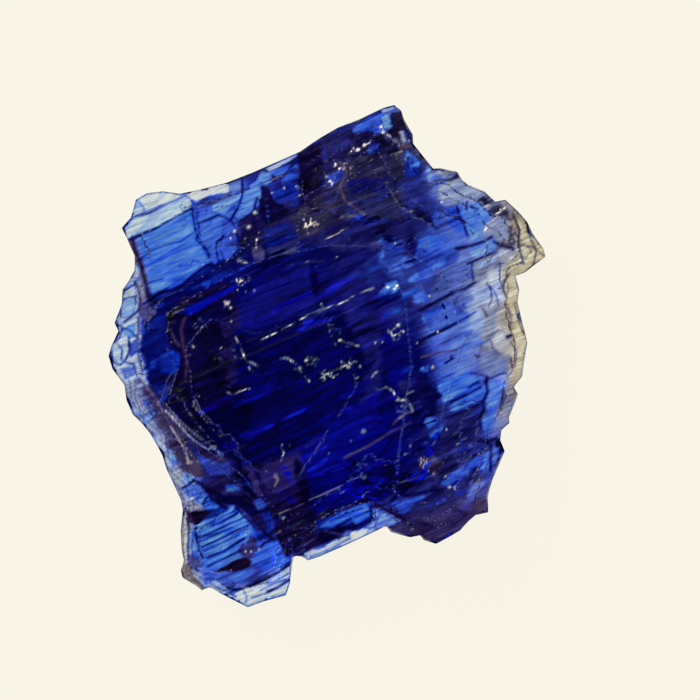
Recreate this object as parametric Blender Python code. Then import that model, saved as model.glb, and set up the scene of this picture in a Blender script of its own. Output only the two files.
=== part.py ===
"""Rough tanzanite: one broken flake of a see-through blue-violet crystal, lying on its back.

The stone splits along flat cleavage planes, so it is built as a stack of thin plates, the way
the real one broke. The plates are joined into one body, the body is cut to the jagged rim,
and its top is stepped along the grain into long, flat, slightly tipped strips.

Run it with: blender --background --python part.py
Metres, +Z up. The stone rests on one small flat spot at z = 0.
"""

import math

import bmesh
import bpy
import numpy as np
from mathutils import Vector

# Driving dimensions, in metres unless the name says otherwise.
STONE_LENGTH = 0.0239  # along Y, from the top lobe to the lowest corner
GRAIN_ANGLE = math.radians(24)  # the grain rises to the right
MM = 0.001

# The rim and the plates were read off the photograph by eye, in its pixels.
PHOTO_LEFT, PHOTO_RIGHT = 109, 545
PHOTO_TOP, PHOTO_BOTTOM = 105.5, 607
PIXEL = STONE_LENGTH / (PHOTO_BOTTOM - PHOTO_TOP)
CENTRE_X = (PHOTO_LEFT + PHOTO_RIGHT) / 2
CENTRE_Y = (PHOTO_TOP + PHOTO_BOTTOM) / 2

# The widest line of the stone, seen from above, anticlockwise from the top left.
RIM_LEFT = [
    (136, 200), (133, 212), (131, 218), (122, 228), (128, 240), (135, 256), (135, 270),
    (130, 280), (123, 290), (122, 305), (115, 323), (119, 331), (112, 346), (109, 356),
    (113, 369), (125, 385), (127, 400), (133, 414), (143, 424), (151, 434), (158, 446),
    (163, 456), (167, 469), (174, 484), (181, 499), (183, 510), (181, 530), (182, 550),
    (184, 560), (181, 570), (183, 577),
]
RIM_FOOT = [
    (194, 584), (202, 590), (210, 587), (222, 594), (238, 602), (248, 607), (264, 601),
    (286, 595), (290, 583), (292, 565), (294, 556), (300, 556), (308, 560), (320, 556),
    (345, 545), (360, 538), (386, 526), (391, 532), (404, 535.5), (410, 537), (420, 535),
    (424, 540), (436, 543.5), (448, 537), (460, 530), (468, 521), (475, 515), (488, 512),
]
RIM_RIGHT = [
    (487.5, 497), (492, 480), (498, 466), (504.5, 451), (500, 440), (501, 430), (509, 423),
    (509, 417), (516, 400), (517.5, 394), (513.5, 387), (522, 376), (524, 363), (527, 343),
    (521.5, 320), (517, 302), (519, 290), (515.5, 276), (525, 272.5), (533, 266), (545, 257),
    (543, 249), (532, 233), (527, 222.5), (517, 211), (505, 200), (495, 202), (484, 191.5),
]
RIM_TOP = [
    (468, 185), (462, 180), (457, 172), (440, 168.5), (433, 169), (424, 158), (413, 144),
    (412.5, 135), (404, 120), (401, 111), (394, 105.5), (383, 108.5), (360, 119.5),
    (338, 128), (320, 138.5), (300, 152), (280, 161), (250, 174), (227, 183), (200, 190),
    (180, 194), (163, 191.5), (147, 193.5),
]
RIM = RIM_LEFT + RIM_FOOT + RIM_RIGHT + RIM_TOP

# The small flat spot that the stone rests on, and the keel above it.
FLAT_SPOT = [
    (222, 318), (236, 286), (300, 254), (322, 262), (396, 232), (418, 268), (432, 338),
    (418, 352), (424, 408), (402, 448), (338, 476), (326, 464), (262, 490), (238, 462),
    (232, 414), (210, 388),
]
KEEL_FLARE = 1.3
KEEL_TOP = 2.6 * MM

# Flat steps on the underside, round the flat spot: outline and height of the lower face.
UNDER_STEPS = {
    "under step below the plateau": (
        [(196, 350), (206, 300), (268, 262), (300, 300), (262, 470), (216, 440)], 0.35),
    "under step towards the lobe": (
        [(214, 430), (280, 440), (300, 500), (262, 556), (214, 530), (196, 470)], 0.85),
    "under step to the right": (
        [(396, 214), (446, 232), (482, 300), (470, 400), (440, 440), (384, 420)], 0.55),
    "under step at the foot": (
        [(300, 440), (420, 410), (468, 440), (440, 512), (380, 512), (320, 520)], 0.7),
    "under step below the top lobe": (
        [(286, 280), (306, 170), (352, 140), (404, 150), (420, 260), (380, 300)], 0.6),
}

# Every plate: its outline, the heights of its lower and upper face at its middle, and how the
# upper face tips, as rise per unit of length along X and along Y. Outlines that reach past
# the rim are trimmed by it later. Heights are in millimetres.
PLATES = {
    "blue plate at the upper left": (
        [(100, 243), (145, 233), (160, 226), (180, 215), (226, 196), (262, 204), (266, 262),
         (213, 280), (183, 289), (150, 303), (100, 312)],
        1.2, 2.9, (0.03, 0.0)),
    "thin ledge above it": (
        [(100, 250), (100, 180), (240, 160), (262, 205), (200, 232), (150, 250)],
        1.9, 2.35, (0.02, -0.02)),
    "ledge under the fingertip": (
        [(184, 216), (176, 170), (240, 150), (330, 118), (338, 210), (262, 250), (205, 246)],
        1.3, 3.6, (0.05, -0.05)),
    "left step": (
        [(146, 322), (168, 300), (230, 280), (235, 420), (180, 412), (150, 384), (139, 350)],
        1.0, 3.4, (0.04, 0.0)),
    "left scales": (
        [(90, 270), (152, 262), (160, 330), (150, 420), (90, 400)],
        1.6, 2.5, (-0.02, 0.02)),
    "lower left band": (
        [(95, 372), (168, 376), (205, 430), (240, 470), (232, 530), (160, 530), (120, 440)],
        1.4, 2.6, (0.0, 0.03)),
    "inner band": (
        [(146, 396), (200, 424), (262, 470), (300, 520), (262, 540), (206, 500), (168, 448)],
        1.2, 3.6, (0.03, 0.02)),
    "lower left lobe": (
        [(160, 520), (200, 496), (252, 506), (304, 520), (300, 566), (262, 584), (160, 600)],
        1.5, 3.2, (0.04, 0.05)),
    "white tip": (
        [(196, 560), (310, 548), (310, 630), (230, 630), (190, 600)],
        1.9, 2.3, (0.0, 0.02)),
    "blue plate on the lobe": (
        [(192, 528), (235, 506), (252, 520), (247, 532), (205, 556)],
        2.0, 3.7, (0.05, 0.08)),
    "foot ledge": (
        [(282, 506), (345, 480), (410, 500), (404, 560), (282, 580)],
        1.6, 2.5, (0.0, 0.03)),
    "lower right lobe": (
        [(372, 500), (392, 430), (470, 400), (530, 420), (520, 500), (500, 560), (384, 560)],
        1.0, 4.3, (-0.05, 0.03)),
    "right field": (
        [(396, 262), (470, 236), (560, 250), (560, 430), (440, 430), (396, 400)],
        1.4, 3.0, (-0.05, 0.0)),
    "right edge": (
        [(468, 262), (570, 240), (570, 440), (486, 440), (474, 350)],
        1.7, 2.7, (0.0, 0.01)),
    "upper right": (
        [(380, 200), (426, 150), (500, 170), (524, 214), (486, 262), (400, 290)],
        1.4, 4.0, (-0.06, -0.02)),
    "right tip": (
        [(462, 180), (530, 170), (570, 250), (530, 290), (466, 286)],
        1.7, 3.2, (-0.04, 0.0)),
    "top lobe": (
        [(296, 170), (310, 100), (440, 80), (440, 170), (438, 220), (404, 250), (300, 262)],
        1.0, 5.2, (0.0, -0.07)),
    "middle of the right half": (
        [(330, 262), (352, 232), (398, 246), (446, 282), (462, 340), (444, 400), (424, 470),
         (360, 498), (310, 520)],
        0.8, 4.7, (-0.05, 0.0)),
    "main plateau": (
        [(172, 314), (213, 287), (262, 262), (330, 248), (384, 250), (404, 300), (410, 370),
         (402, 420), (392, 500), (345, 503), (300, 538), (272, 500), (240, 468), (200, 441),
         (170, 406), (184, 360), (172, 336)],
        0.4, 5.9, (-0.06, 0.02)),
    "thickest part": (
        [(192, 345), (216, 320), (258, 334), (318, 312), (346, 340), (356, 384), (330, 428),
         (300, 474), (262, 468), (226, 440), (198, 404)],
        1.0, 6.9, (-0.03, 0.03)),
    "step behind the plateau": (
        [(150, 306), (183, 290), (213, 272), (262, 240), (330, 214), (346, 262), (262, 290),
         (213, 306), (176, 326), (152, 330)],
        1.6, 4.5, (0.03, 0.0)),
    "step left of the plateau": (
        [(162, 330), (200, 320), (236, 440), (262, 480), (240, 482), (186, 440), (160, 406),
         (176, 366)],
        1.6, 4.4, (0.02, 0.0)),
    "rise in the top lobe": (
        [(318, 160), (352, 128), (392, 116), (404, 150), (392, 196), (330, 214)],
        2.0, 5.9, (0.02, -0.05)),
}
WALL_LEAN = 0.3  # how far a plate's wall runs out for each unit of its height

# Bites out of the top: outline, and the height that the floor of the bite is left at.
BITES = {
    "pocket by the lower left lobe": (
        [(186, 506), (212, 500), (216, 522), (190, 530)], 2.3),
    "wedge at the foot of the plateau": (
        [(318, 520), (368, 508), (376, 522), (326, 540)], 2.2),
    "gap between the lobe and the foot ledge": (
        [(291, 538), (302, 536), (303, 552), (293, 560)], 1.9),
    "hollow left of the top lobe": (
        [(262, 172), (296, 156), (304, 206), (270, 222)], 2.9),
}
BITE_MOUTH = 8.7 * MM  # above every plate

# The rim is a thin torn edge. Above it the sheets end one behind the other: each pair is how
# wide the outline still is, as a share of the rim's, and the height there in millimetres.
SIDE_STEPS = [
    (0.985, 2.42), (0.905, 2.8), (0.893, 3.5), (0.84, 3.75), (0.825, 4.5), (0.755, 4.95),
    (0.735, 5.9), (0.66, 7.7),
]
SIDE_DRAW_IN_BELOW = 0.84
SIDE_FOOT = -1.0 * MM
RIM_LEVEL = 2.1 * MM
RIM_WAVE = 0.12 * MM

# The steps along the grain: long strips, each tipped a little and ending in a sharp drop.
STRIPS = 15
STRIP_WIDTH = 1.65 * MM
STRIP_WIDTH_CHANGE = 0.5 * MM
DROP_WIDTH = 0.14 * MM
STRIP_RISE = 0.3 * MM
STEPPED_ABOVE = 2.4 * MM
FULLY_STEPPED_AT = 4.0 * MM

# A clear crystal. The colour is what is left of white light after a millimetre or two.
COLOUR = (0.055, 0.095, 0.62, 1.0)
ROUGHNESS = 0.12
INDEX_OF_REFRACTION = 1.7


def clear_scene():
    """Remove everything that the startup scene holds."""
    for old in list(bpy.data.objects):
        bpy.data.objects.remove(old)


def place(pixel):
    """A point of the photograph as X and Y on the stone, in metres."""
    x, y = pixel
    return (x - CENTRE_X) * PIXEL, (CENTRE_Y - y) * PIXEL


def crystal_material():
    """The stone's see-through blue-violet."""
    material = bpy.data.materials.new("crystal")
    material.use_nodes = True
    shader = material.node_tree.nodes["Principled BSDF"]
    shader.inputs["Base Color"].default_value = COLOUR
    shader.inputs["Metallic"].default_value = 0.0
    shader.inputs["Roughness"].default_value = ROUGHNESS
    shader.inputs["IOR"].default_value = INDEX_OF_REFRACTION
    shader.inputs["Transmission Weight"].default_value = 1.0
    return material


def drawn_in(ring, share):
    """The same ring pulled towards its middle."""
    middle_x = sum(x for x, _ in ring) / len(ring)
    middle_y = sum(y for _, y in ring) / len(ring)
    return [(middle_x + (x - middle_x) * share, middle_y + (y - middle_y) * share) for x, y in ring]


def tipped(ring, height, tip):
    """The ring's points at a height, on a face that tips by so much along X and Y."""
    middle_x = sum(x for x, _ in ring) / len(ring)
    middle_y = sum(y for _, y in ring) / len(ring)
    return [Vector((x, y, height + (x - middle_x) * tip[0] + (y - middle_y) * tip[1])) for x, y in ring]


def stacked(name, rings):
    """A closed body through rings of the same number of points, from the lowest to the highest."""
    bm = bmesh.new()
    loops = [[bm.verts.new(point) for point in ring] for ring in rings]
    bm.faces.new(loops[0])
    bm.faces.new(loops[-1])
    for low, high in zip(loops, loops[1:]):
        for i in range(len(low)):
            after = (i + 1) % len(low)
            bm.faces.new((low[i], low[after], high[after], high[i]))
    bmesh.ops.triangulate(bm, faces=bm.faces[:])
    bmesh.ops.recalc_face_normals(bm, faces=bm.faces[:])
    mesh = bpy.data.meshes.new(name)
    bm.to_mesh(mesh)
    bm.free()
    body = bpy.data.objects.new(name, mesh)
    bpy.context.scene.collection.objects.link(body)
    return body


def helper(body):
    """Mark a body that only shapes the stone."""
    body.hide_render = True
    body.display_type = "WIRE"
    return body


def shape_with(body, operation, tool):
    """Join or cut the stone with another body, and keep the result."""
    modifier = body.modifiers.new(tool.name, "BOOLEAN")
    modifier.operation = operation
    modifier.solver = "EXACT"
    modifier.object = tool
    bpy.context.view_layer.objects.active = body
    bpy.ops.object.modifier_apply(modifier=modifier.name)
    bpy.data.objects.remove(tool)


def keel():
    """The underside: the flat spot, flaring out and up to the thin rim."""
    spot = [place(pixel) for pixel in FLAT_SPOT]
    wide = drawn_in(spot, KEEL_FLARE)
    return stacked("tanzanite", [tipped(spot, 0, (0, 0)), tipped(wide, KEEL_TOP, (0, 0))])


def leaning(ring, height):
    """The foot of a wall of that height under the ring, further out because the wall leans."""
    across = (max(x for x, _ in ring) - min(x for x, _ in ring)) / 2
    return drawn_in(ring, 1 + WALL_LEAN * height / across)


def plate(name, outline, low, high, tip):
    """One cleavage plate with steep sides and a tipped upper face."""
    ring = [place(pixel) for pixel in outline]
    under = tipped(leaning(ring, (high - low) * MM), low * MM, (0, 0))
    upper = tipped(ring, high * MM, tip)
    return helper(stacked(name, [under, upper]))


def under_step(name, outline, low):
    """A flat step on the underside, with a wall that leans out upwards."""
    ring = [place(pixel) for pixel in outline]
    upper = tipped(leaning(ring, KEEL_TOP - low * MM), KEEL_TOP, (0, 0))
    return helper(stacked(name, [tipped(ring, low * MM, (0, 0)), upper]))


def bite(name, outline, floor):
    """A pocket cut down from above, a little wider at its mouth."""
    ring = [place(pixel) for pixel in outline]
    return helper(stacked(name, [tipped(drawn_in(ring, 0.8), floor * MM, (0, 0)),
                                 tipped(drawn_in(ring, 1.5), BITE_MOUTH, (0, 0))]))


def side():
    """The body whose wall is the stone's broken side: widest at the rim, and stepped above it."""
    ring = [place(pixel) for pixel in RIM]
    widest = [Vector((x, y, RIM_LEVEL + RIM_WAVE * math.sin(2.4 * i))) for i, (x, y) in enumerate(ring)]
    below = tipped(drawn_in(ring, SIDE_DRAW_IN_BELOW), SIDE_FOOT, (0, 0))
    above = [tipped(drawn_in(ring, share), height * MM, (0, 0)) for share, height in SIDE_STEPS]
    return helper(stacked("side", [below, widest, *above]))


def strip_edges():
    """Where each strip starts across the grain, in metres from the stone's middle."""
    number = np.arange(STRIPS)
    middle = (STRIPS - 1) / 2
    return (number - middle) * STRIP_WIDTH + STRIP_WIDTH_CHANGE * np.sin(2.7 * number)


def stepped(across):
    """Rise of the stepped surface: each strip climbs along a straight line, then drops."""
    edges = strip_edges()
    number = np.arange(STRIPS)
    knots = np.stack([edges - DROP_WIDTH / 2, edges + DROP_WIDTH / 2], axis=1).ravel()
    tops = STRIP_RISE * (0.65 + 0.35 * np.sin(4.1 * number))
    rises = np.stack([tops, -0.3 * tops], axis=1).ravel()
    return np.interp(across, knots, rises)


def cut_strips(body):
    """Cut the stone along the grain and raise or lower the cuts, so that its top is long flat strips."""
    across = Vector((-math.sin(GRAIN_ANGLE), math.cos(GRAIN_ANGLE), 0))
    bm = bmesh.new()
    bm.from_mesh(body.data)
    for edge in strip_edges():
        for knot in (edge - DROP_WIDTH / 2, edge + DROP_WIDTH / 2):
            everything = bm.verts[:] + bm.edges[:] + bm.faces[:]
            bmesh.ops.bisect_plane(
                bm, geom=everything, dist=1e-7, plane_co=across * knot, plane_no=across)
    for vert in bm.verts:
        share = (vert.co.z - STEPPED_ABOVE) / (FULLY_STEPPED_AT - STEPPED_ABOVE)
        vert.co.z += min(max(share, 0), 1) * stepped(vert.co.dot(across))
    bmesh.ops.triangulate(bm, faces=bm.faces[:])
    bm.to_mesh(body.data)
    bm.free()


def build():
    clear_scene()
    stone = keel()
    for name, (outline, low) in UNDER_STEPS.items():
        shape_with(stone, "UNION", under_step(name, outline, low))
    for name, (outline, low, high, tip) in PLATES.items():
        shape_with(stone, "UNION", plate(name, outline, low, high, tip))
    for name, (outline, floor) in BITES.items():
        shape_with(stone, "DIFFERENCE", bite(name, outline, floor))
    shape_with(stone, "INTERSECT", side())
    cut_strips(stone)
    stone.data.materials.clear()
    stone.data.materials.append(crystal_material())


build()
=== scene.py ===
# %% [markdown]
# # Rough tanzanite, lying on its back
# The stone is one broken flake of a clear blue-violet crystal. It splits along flat cleavage
# planes, so it is a pile of thin plates that end in steep little cliffs, with long fine lines
# along the grain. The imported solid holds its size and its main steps. Here it gets its fine
# surface and its colour.

import math

import bpy
import numpy as np
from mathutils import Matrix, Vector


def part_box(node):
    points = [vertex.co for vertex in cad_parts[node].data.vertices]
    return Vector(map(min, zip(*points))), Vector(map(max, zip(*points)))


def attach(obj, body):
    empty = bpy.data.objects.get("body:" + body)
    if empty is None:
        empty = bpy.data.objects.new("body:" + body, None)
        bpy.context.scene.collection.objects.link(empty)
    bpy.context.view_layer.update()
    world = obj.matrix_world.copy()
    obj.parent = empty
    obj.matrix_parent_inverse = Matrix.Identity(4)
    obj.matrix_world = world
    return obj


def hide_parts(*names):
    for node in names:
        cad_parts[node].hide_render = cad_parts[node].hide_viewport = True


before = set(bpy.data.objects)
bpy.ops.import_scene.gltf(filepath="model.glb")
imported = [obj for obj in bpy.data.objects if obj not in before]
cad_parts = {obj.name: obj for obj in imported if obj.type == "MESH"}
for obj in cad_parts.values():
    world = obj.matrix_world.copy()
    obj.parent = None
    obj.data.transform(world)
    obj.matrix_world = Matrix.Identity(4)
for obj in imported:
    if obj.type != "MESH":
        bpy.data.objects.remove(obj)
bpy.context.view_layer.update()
stone_low, stone_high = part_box("tanzanite")
MM = 0.001
print("packed box, mm:", [round(side / MM, 2) for side in stone_high - stone_low])

# %% [markdown]
# ## Where the photograph's points lie on the stone
# The outline, the plates and the marks were read off the photograph. Its pixels are
# turned into millimetres on the stone with the stone's own length, so everything below is laid
# out at the real size and still says where to look in the photograph.

# %% From pixels to millimetres
PHOTO_LEFT, PHOTO_RIGHT = 109, 545
PHOTO_TOP, PHOTO_BOTTOM = 105.5, 607
PIXEL = (stone_high.y - stone_low.y) / MM / (PHOTO_BOTTOM - PHOTO_TOP)
PHOTO_CENTRE = np.array([(PHOTO_LEFT + PHOTO_RIGHT) / 2, (PHOTO_TOP + PHOTO_BOTTOM) / 2])
GRAIN_ANGLE = math.radians(24)
GRAIN = np.array([math.cos(GRAIN_ANGLE), math.sin(GRAIN_ANGLE)])
ACROSS = np.array([-math.sin(GRAIN_ANGLE), math.cos(GRAIN_ANGLE)])


def place(pixels):
    """Points of the photograph as X and Y in millimetres: the distance from the photograph's
    middle of the stone, times the size of a pixel, with Y turned upwards."""
    return (np.asarray(pixels, float) - PHOTO_CENTRE) * (PIXEL, -PIXEL)


print("one photograph pixel is", round(PIXEL, 4), "mm")

# %% [markdown]
# ## The rim
# Seen from above, the stone ends in a torn, jagged line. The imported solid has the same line.

# %% The rim's points, anticlockwise from the top left
RIM_LEFT = [
    (136, 200), (133, 212), (131, 218), (122, 228), (128, 240), (135, 256), (135, 270),
    (130, 280), (123, 290), (122, 305), (115, 323), (119, 331), (112, 346), (109, 356),
    (113, 369), (125, 385), (127, 400), (133, 414), (143, 424), (151, 434), (158, 446),
    (163, 456), (167, 469), (174, 484), (181, 499), (183, 510), (181, 530), (182, 550),
    (184, 560), (181, 570), (183, 577),
]
RIM_FOOT = [
    (194, 584), (202, 590), (210, 587), (222, 594), (238, 602), (248, 607), (264, 601),
    (286, 595), (290, 583), (292, 565), (294, 556), (300, 556), (308, 560), (320, 556),
    (345, 545), (360, 538), (386, 526), (391, 532), (404, 535.5), (410, 537), (420, 535),
    (424, 540), (436, 543.5), (448, 537), (460, 530), (468, 521), (475, 515), (488, 512),
]
RIM_RIGHT = [
    (487.5, 497), (492, 480), (498, 466), (504.5, 451), (500, 440), (501, 430), (509, 423),
    (509, 417), (516, 400), (517.5, 394), (513.5, 387), (522, 376), (524, 363), (527, 343),
    (521.5, 320), (517, 302), (519, 290), (515.5, 276), (525, 272.5), (533, 266), (545, 257),
    (543, 249), (532, 233), (527, 222.5), (517, 211), (505, 200), (495, 202), (484, 191.5),
]
RIM_TOP = [
    (468, 185), (462, 180), (457, 172), (440, 168.5), (433, 169), (424, 158), (413, 144),
    (412.5, 135), (404, 120), (401, 111), (394, 105.5), (383, 108.5), (360, 119.5),
    (338, 128), (320, 138.5), (300, 152), (280, 161), (250, 174), (227, 183), (200, 190),
    (180, 194), (163, 191.5), (147, 193.5),
]
RIM = place(RIM_LEFT + RIM_FOOT + RIM_RIGHT + RIM_TOP)
print("rim points:", len(RIM))

# %% [markdown]
# ## The plates
# Every plate has a flat, slightly tipped upper face and a steep wall round it. They are the
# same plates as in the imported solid. Bites are hollows in them, and the steps of the underside
# lie round the flat spot that the stone rests on.

# %% The plates: outline, lower and upper height in mm, tip along X and Y
PLATES = [
    # blue plate at the upper left
    ([(100, 243), (145, 233), (160, 226), (180, 215), (226, 196), (262, 204), (266, 262),
      (213, 280), (183, 289), (150, 303), (100, 312)], 1.2, 2.9, (0.03, 0.0)),
    # thin ledge above it
    ([(100, 250), (100, 180), (240, 160), (262, 205), (200, 232), (150, 250)],
     1.9, 2.35, (0.02, -0.02)),
    # ledge at the top edge
    ([(184, 216), (176, 170), (240, 150), (330, 118), (338, 210), (262, 250), (205, 246)],
     1.3, 3.6, (0.05, -0.05)),
    # left step
    ([(146, 322), (168, 300), (230, 280), (235, 420), (180, 412), (150, 384), (139, 350)],
     1.0, 3.4, (0.04, 0.0)),
    # left scales
    ([(90, 270), (152, 262), (160, 330), (150, 420), (90, 400)],
     1.6, 2.5, (-0.02, 0.02)),
    # lower left band
    ([(95, 372), (168, 376), (205, 430), (240, 470), (232, 530), (160, 530), (120, 440)],
     1.4, 2.6, (0.0, 0.03)),
    # inner band
    ([(146, 396), (200, 424), (262, 470), (300, 520), (262, 540), (206, 500), (168, 448)],
     1.2, 3.6, (0.03, 0.02)),
    # lower left lobe
    ([(160, 520), (200, 496), (252, 506), (304, 520), (300, 566), (262, 584), (160, 600)],
     1.5, 3.2, (0.04, 0.05)),
    # white tip
    ([(196, 560), (310, 548), (310, 630), (230, 630), (190, 600)],
     1.9, 2.3, (0.0, 0.02)),
    # blue plate on the lobe
    ([(192, 528), (235, 506), (252, 520), (247, 532), (205, 556)],
     2.0, 3.7, (0.05, 0.08)),
    # foot ledge
    ([(282, 506), (345, 480), (410, 500), (404, 560), (282, 580)],
     1.6, 2.5, (0.0, 0.03)),
    # lower right lobe
    ([(372, 500), (392, 430), (470, 400), (530, 420), (520, 500), (500, 560), (384, 560)],
     1.0, 4.3, (-0.05, 0.03)),
    # right field
    ([(396, 262), (470, 236), (560, 250), (560, 430), (440, 430), (396, 400)],
     1.4, 3.0, (-0.05, 0.0)),
    # right edge
    ([(468, 262), (570, 240), (570, 440), (486, 440), (474, 350)],
     1.7, 2.7, (0.0, 0.01)),
    # upper right
    ([(380, 200), (426, 150), (500, 170), (524, 214), (486, 262), (400, 290)],
     1.4, 4.0, (-0.06, -0.02)),
    # right tip
    ([(462, 180), (530, 170), (570, 250), (530, 290), (466, 286)],
     1.7, 3.2, (-0.04, 0.0)),
    # top lobe
    ([(296, 170), (310, 100), (440, 80), (440, 170), (438, 220), (404, 250), (300, 262)],
     1.0, 5.2, (0.0, -0.07)),
    # middle of the right half
    ([(330, 262), (352, 232), (398, 246), (446, 282), (462, 340), (444, 400), (424, 470),
      (360, 498), (310, 520)], 0.8, 4.7, (-0.05, 0.0)),
    # main plateau
    ([(172, 314), (213, 287), (262, 262), (330, 248), (384, 250), (404, 300), (410, 370),
      (402, 420), (392, 500), (345, 503), (300, 538), (272, 500), (240, 468), (200, 441),
      (170, 406), (184, 360), (172, 336)], 0.4, 5.9, (-0.06, 0.02)),
    # thickest part
    ([(192, 345), (216, 320), (258, 334), (318, 312), (346, 340), (356, 384), (330, 428),
      (300, 474), (262, 468), (226, 440), (198, 404)], 1.0, 6.9, (-0.03, 0.03)),
    # step behind the plateau
    ([(150, 306), (183, 290), (213, 272), (262, 240), (330, 214), (346, 262), (262, 290),
      (213, 306), (176, 326), (152, 330)], 1.6, 4.5, (0.03, 0.0)),
    # step left of the plateau
    ([(162, 330), (200, 320), (236, 440), (262, 480), (240, 482), (186, 440), (160, 406),
      (176, 366)], 1.6, 4.4, (0.02, 0.0)),
    # rise in the top lobe
    ([(318, 160), (352, 128), (392, 116), (404, 150), (392, 196), (330, 214)],
     2.0, 5.9, (0.02, -0.05)),
]
BITES = [
    # pocket by the lower left lobe
    ([(186, 506), (212, 500), (216, 522), (190, 530)], 2.3),
    # wedge at the foot of the plateau
    ([(318, 520), (368, 508), (376, 522), (326, 540)], 2.2),
    # gap between the lobe and the foot ledge
    ([(291, 538), (302, 536), (303, 552), (293, 560)], 1.9),
    # hollow left of the top lobe
    ([(262, 172), (296, 156), (304, 206), (270, 222)], 2.9),
]
FLAT_SPOT = [
    (222, 318), (236, 286), (300, 254), (322, 262), (396, 232), (418, 268), (432, 338),
    (418, 352), (424, 408), (402, 448), (338, 476), (326, 464), (262, 490), (238, 462),
    (232, 414), (210, 388),
]
UNDER_STEPS = [
    ([(196, 350), (206, 300), (268, 262), (300, 300), (262, 470), (216, 440)], 0.35),
    ([(214, 430), (280, 440), (300, 500), (262, 556), (214, 530), (196, 470)], 0.85),
    ([(396, 214), (446, 232), (482, 300), (470, 400), (440, 440), (384, 420)], 0.55),
    ([(300, 440), (420, 410), (468, 440), (440, 512), (380, 512), (320, 520)], 0.7),
    ([(286, 280), (306, 170), (352, 140), (404, 150), (420, 260), (380, 300)], 0.6),
]
print("plates:", len(PLATES))

# %% [markdown]
# ## Helpers for whole arrays of points
# The surface is worked out for every point of a grid at once. These helpers do most of it:
# the distance to an outline, the distance to an open line, and smooth random hills.

# %% Distance to outlines and lines, and random hills
HILL_POINTS = 256


def edge_distance(points, ring):
    """Distance from each point to a closed outline, above zero inside and below zero outside.
    For each side of the outline, the point is dropped onto the side, kept between its ends,
    and the shortest of these drops is the distance. A point is inside if a line to its right
    crosses the outline an odd number of times."""
    nearest = np.full(len(points), np.inf)
    inside = np.zeros(len(points), bool)
    for start, end in zip(ring, np.roll(ring, -1, axis=0)):
        side = end - start
        share = np.clip((points - start) @ side / (side @ side), 0, 1)
        gap = points - start - share[:, None] * side
        nearest = np.minimum(nearest, np.hypot(gap[:, 0], gap[:, 1]))
        spans = (start[1] > points[:, 1]) != (end[1] > points[:, 1])
        rise = side[1] if side[1] else 1e-12
        inside ^= spans & (points[:, 0] < start[0] + (points[:, 1] - start[1]) * side[0] / rise)
    return np.where(inside, nearest, -nearest)


def line_distance(points, line):
    """Distance from each point to an open line of straight pieces, by the same drops."""
    nearest = np.full(len(points), np.inf)
    for start, end in zip(line[:-1], line[1:]):
        side = end - start
        share = np.clip((points - start) @ side / (side @ side), 0, 1)
        gap = points - start - share[:, None] * side
        nearest = np.minimum(nearest, np.hypot(gap[:, 0], gap[:, 1]))
    return nearest


def hills(along, across, seed):
    """Smooth random hills between -1 and 1: every whole-number point of a plane has a random
    height, and between them the heights are mixed by 3t^2 - 2t^3 both ways. So a distance in
    millimetres is multiplied by how many hills fit in a millimetre."""
    heights = np.random.default_rng(seed).uniform(-1, 1, (HILL_POINTS, HILL_POINTS))
    column, row = np.floor(along).astype(int), np.floor(across).astype(int)
    t, s = along - column, across - row
    t, s = t * t * (3 - 2 * t), s * s * (3 - 2 * s)
    column, row = column % HILL_POINTS, row % HILL_POINTS
    after, above = (column + 1) % HILL_POINTS, (row + 1) % HILL_POINTS
    low = heights[column, row] * (1 - t) + heights[after, row] * t
    high = heights[column, above] * (1 - t) + heights[after, above] * t
    return low * (1 - s) + high * s


def ramp(value, start, end):
    """0 before start, 1 after end, and 3t^2 - 2t^3 between them."""
    t = np.clip((value - start) / (end - start), 0, 1)
    return t * t * (3 - 2 * t)


# %% [markdown]
# ## The grid
# A real flake is smooth along its grain and lively across it. So the grid follows the grain,
# and its cells are finer across it. Cells outside the rim are dropped, and the corners of the
# outermost cells are moved onto the rim, so the edge is sharp.

# %% A grid along the grain, cut to the rim
CELL_ALONG, CELL_ACROSS = 0.078, 0.058
REACH = 13.5
CORNER_PASSES = 3
along_lines = np.arange(-REACH, REACH, CELL_ALONG)
across_lines = np.arange(-REACH, REACH, CELL_ACROSS)
grid_along, grid_across = np.meshgrid(along_lines, across_lines, indexing="ij")
grid_shape = grid_along.shape
grid = grid_along.reshape(-1, 1) * GRAIN + grid_across.reshape(-1, 1) * ACROSS
rim_gap = edge_distance(grid, RIM)
number = np.arange(grid_shape[0] * grid_shape[1]).reshape(grid_shape)


def cell_mean(values):
    """Mean of the four corners of every cell."""
    v = values.reshape(grid_shape)
    return (v[:-1, :-1] + v[1:, :-1] + v[1:, 1:] + v[:-1, 1:]) / 4


kept = cell_mean(rim_gap) > 0
for _ in range(CORNER_PASSES):
    lonely = kept[:-1, :-1] & kept[1:, 1:] & ~kept[1:, :-1] & ~kept[:-1, 1:]
    kept[1:, :-1] |= lonely
    lonely = ~kept[:-1, :-1] & ~kept[1:, 1:] & kept[1:, :-1] & kept[:-1, 1:]
    kept[:-1, :-1] |= lonely

corners = np.stack([number[:-1, :-1], number[1:, :-1], number[1:, 1:], number[:-1, 1:]], axis=-1)
cells = corners[kept]
used = np.unique(cells)
sides = np.concatenate([cells[:, [i, (i + 1) % 4]] for i in range(4)])
twice = sides[:, 0] * number.size + sides[:, 1]
back = sides[:, 1] * number.size + sides[:, 0]
outer = sides[~np.isin(twice, back)]
rim_points = np.unique(outer)


def onto_rim(points):
    """The nearest place on the rim for each point, the best of its drops onto the rim's sides."""
    start, side = RIM, np.roll(RIM, -1, axis=0) - RIM
    reach = ((points[:, None] - start) * side).sum(-1) / (side * side).sum(-1)
    foot = start + np.clip(reach, 0, 1)[..., None] * side
    best = np.hypot(*np.moveaxis(points[:, None] - foot, -1, 0)).argmin(1)
    return foot[np.arange(len(points)), best]


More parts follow.
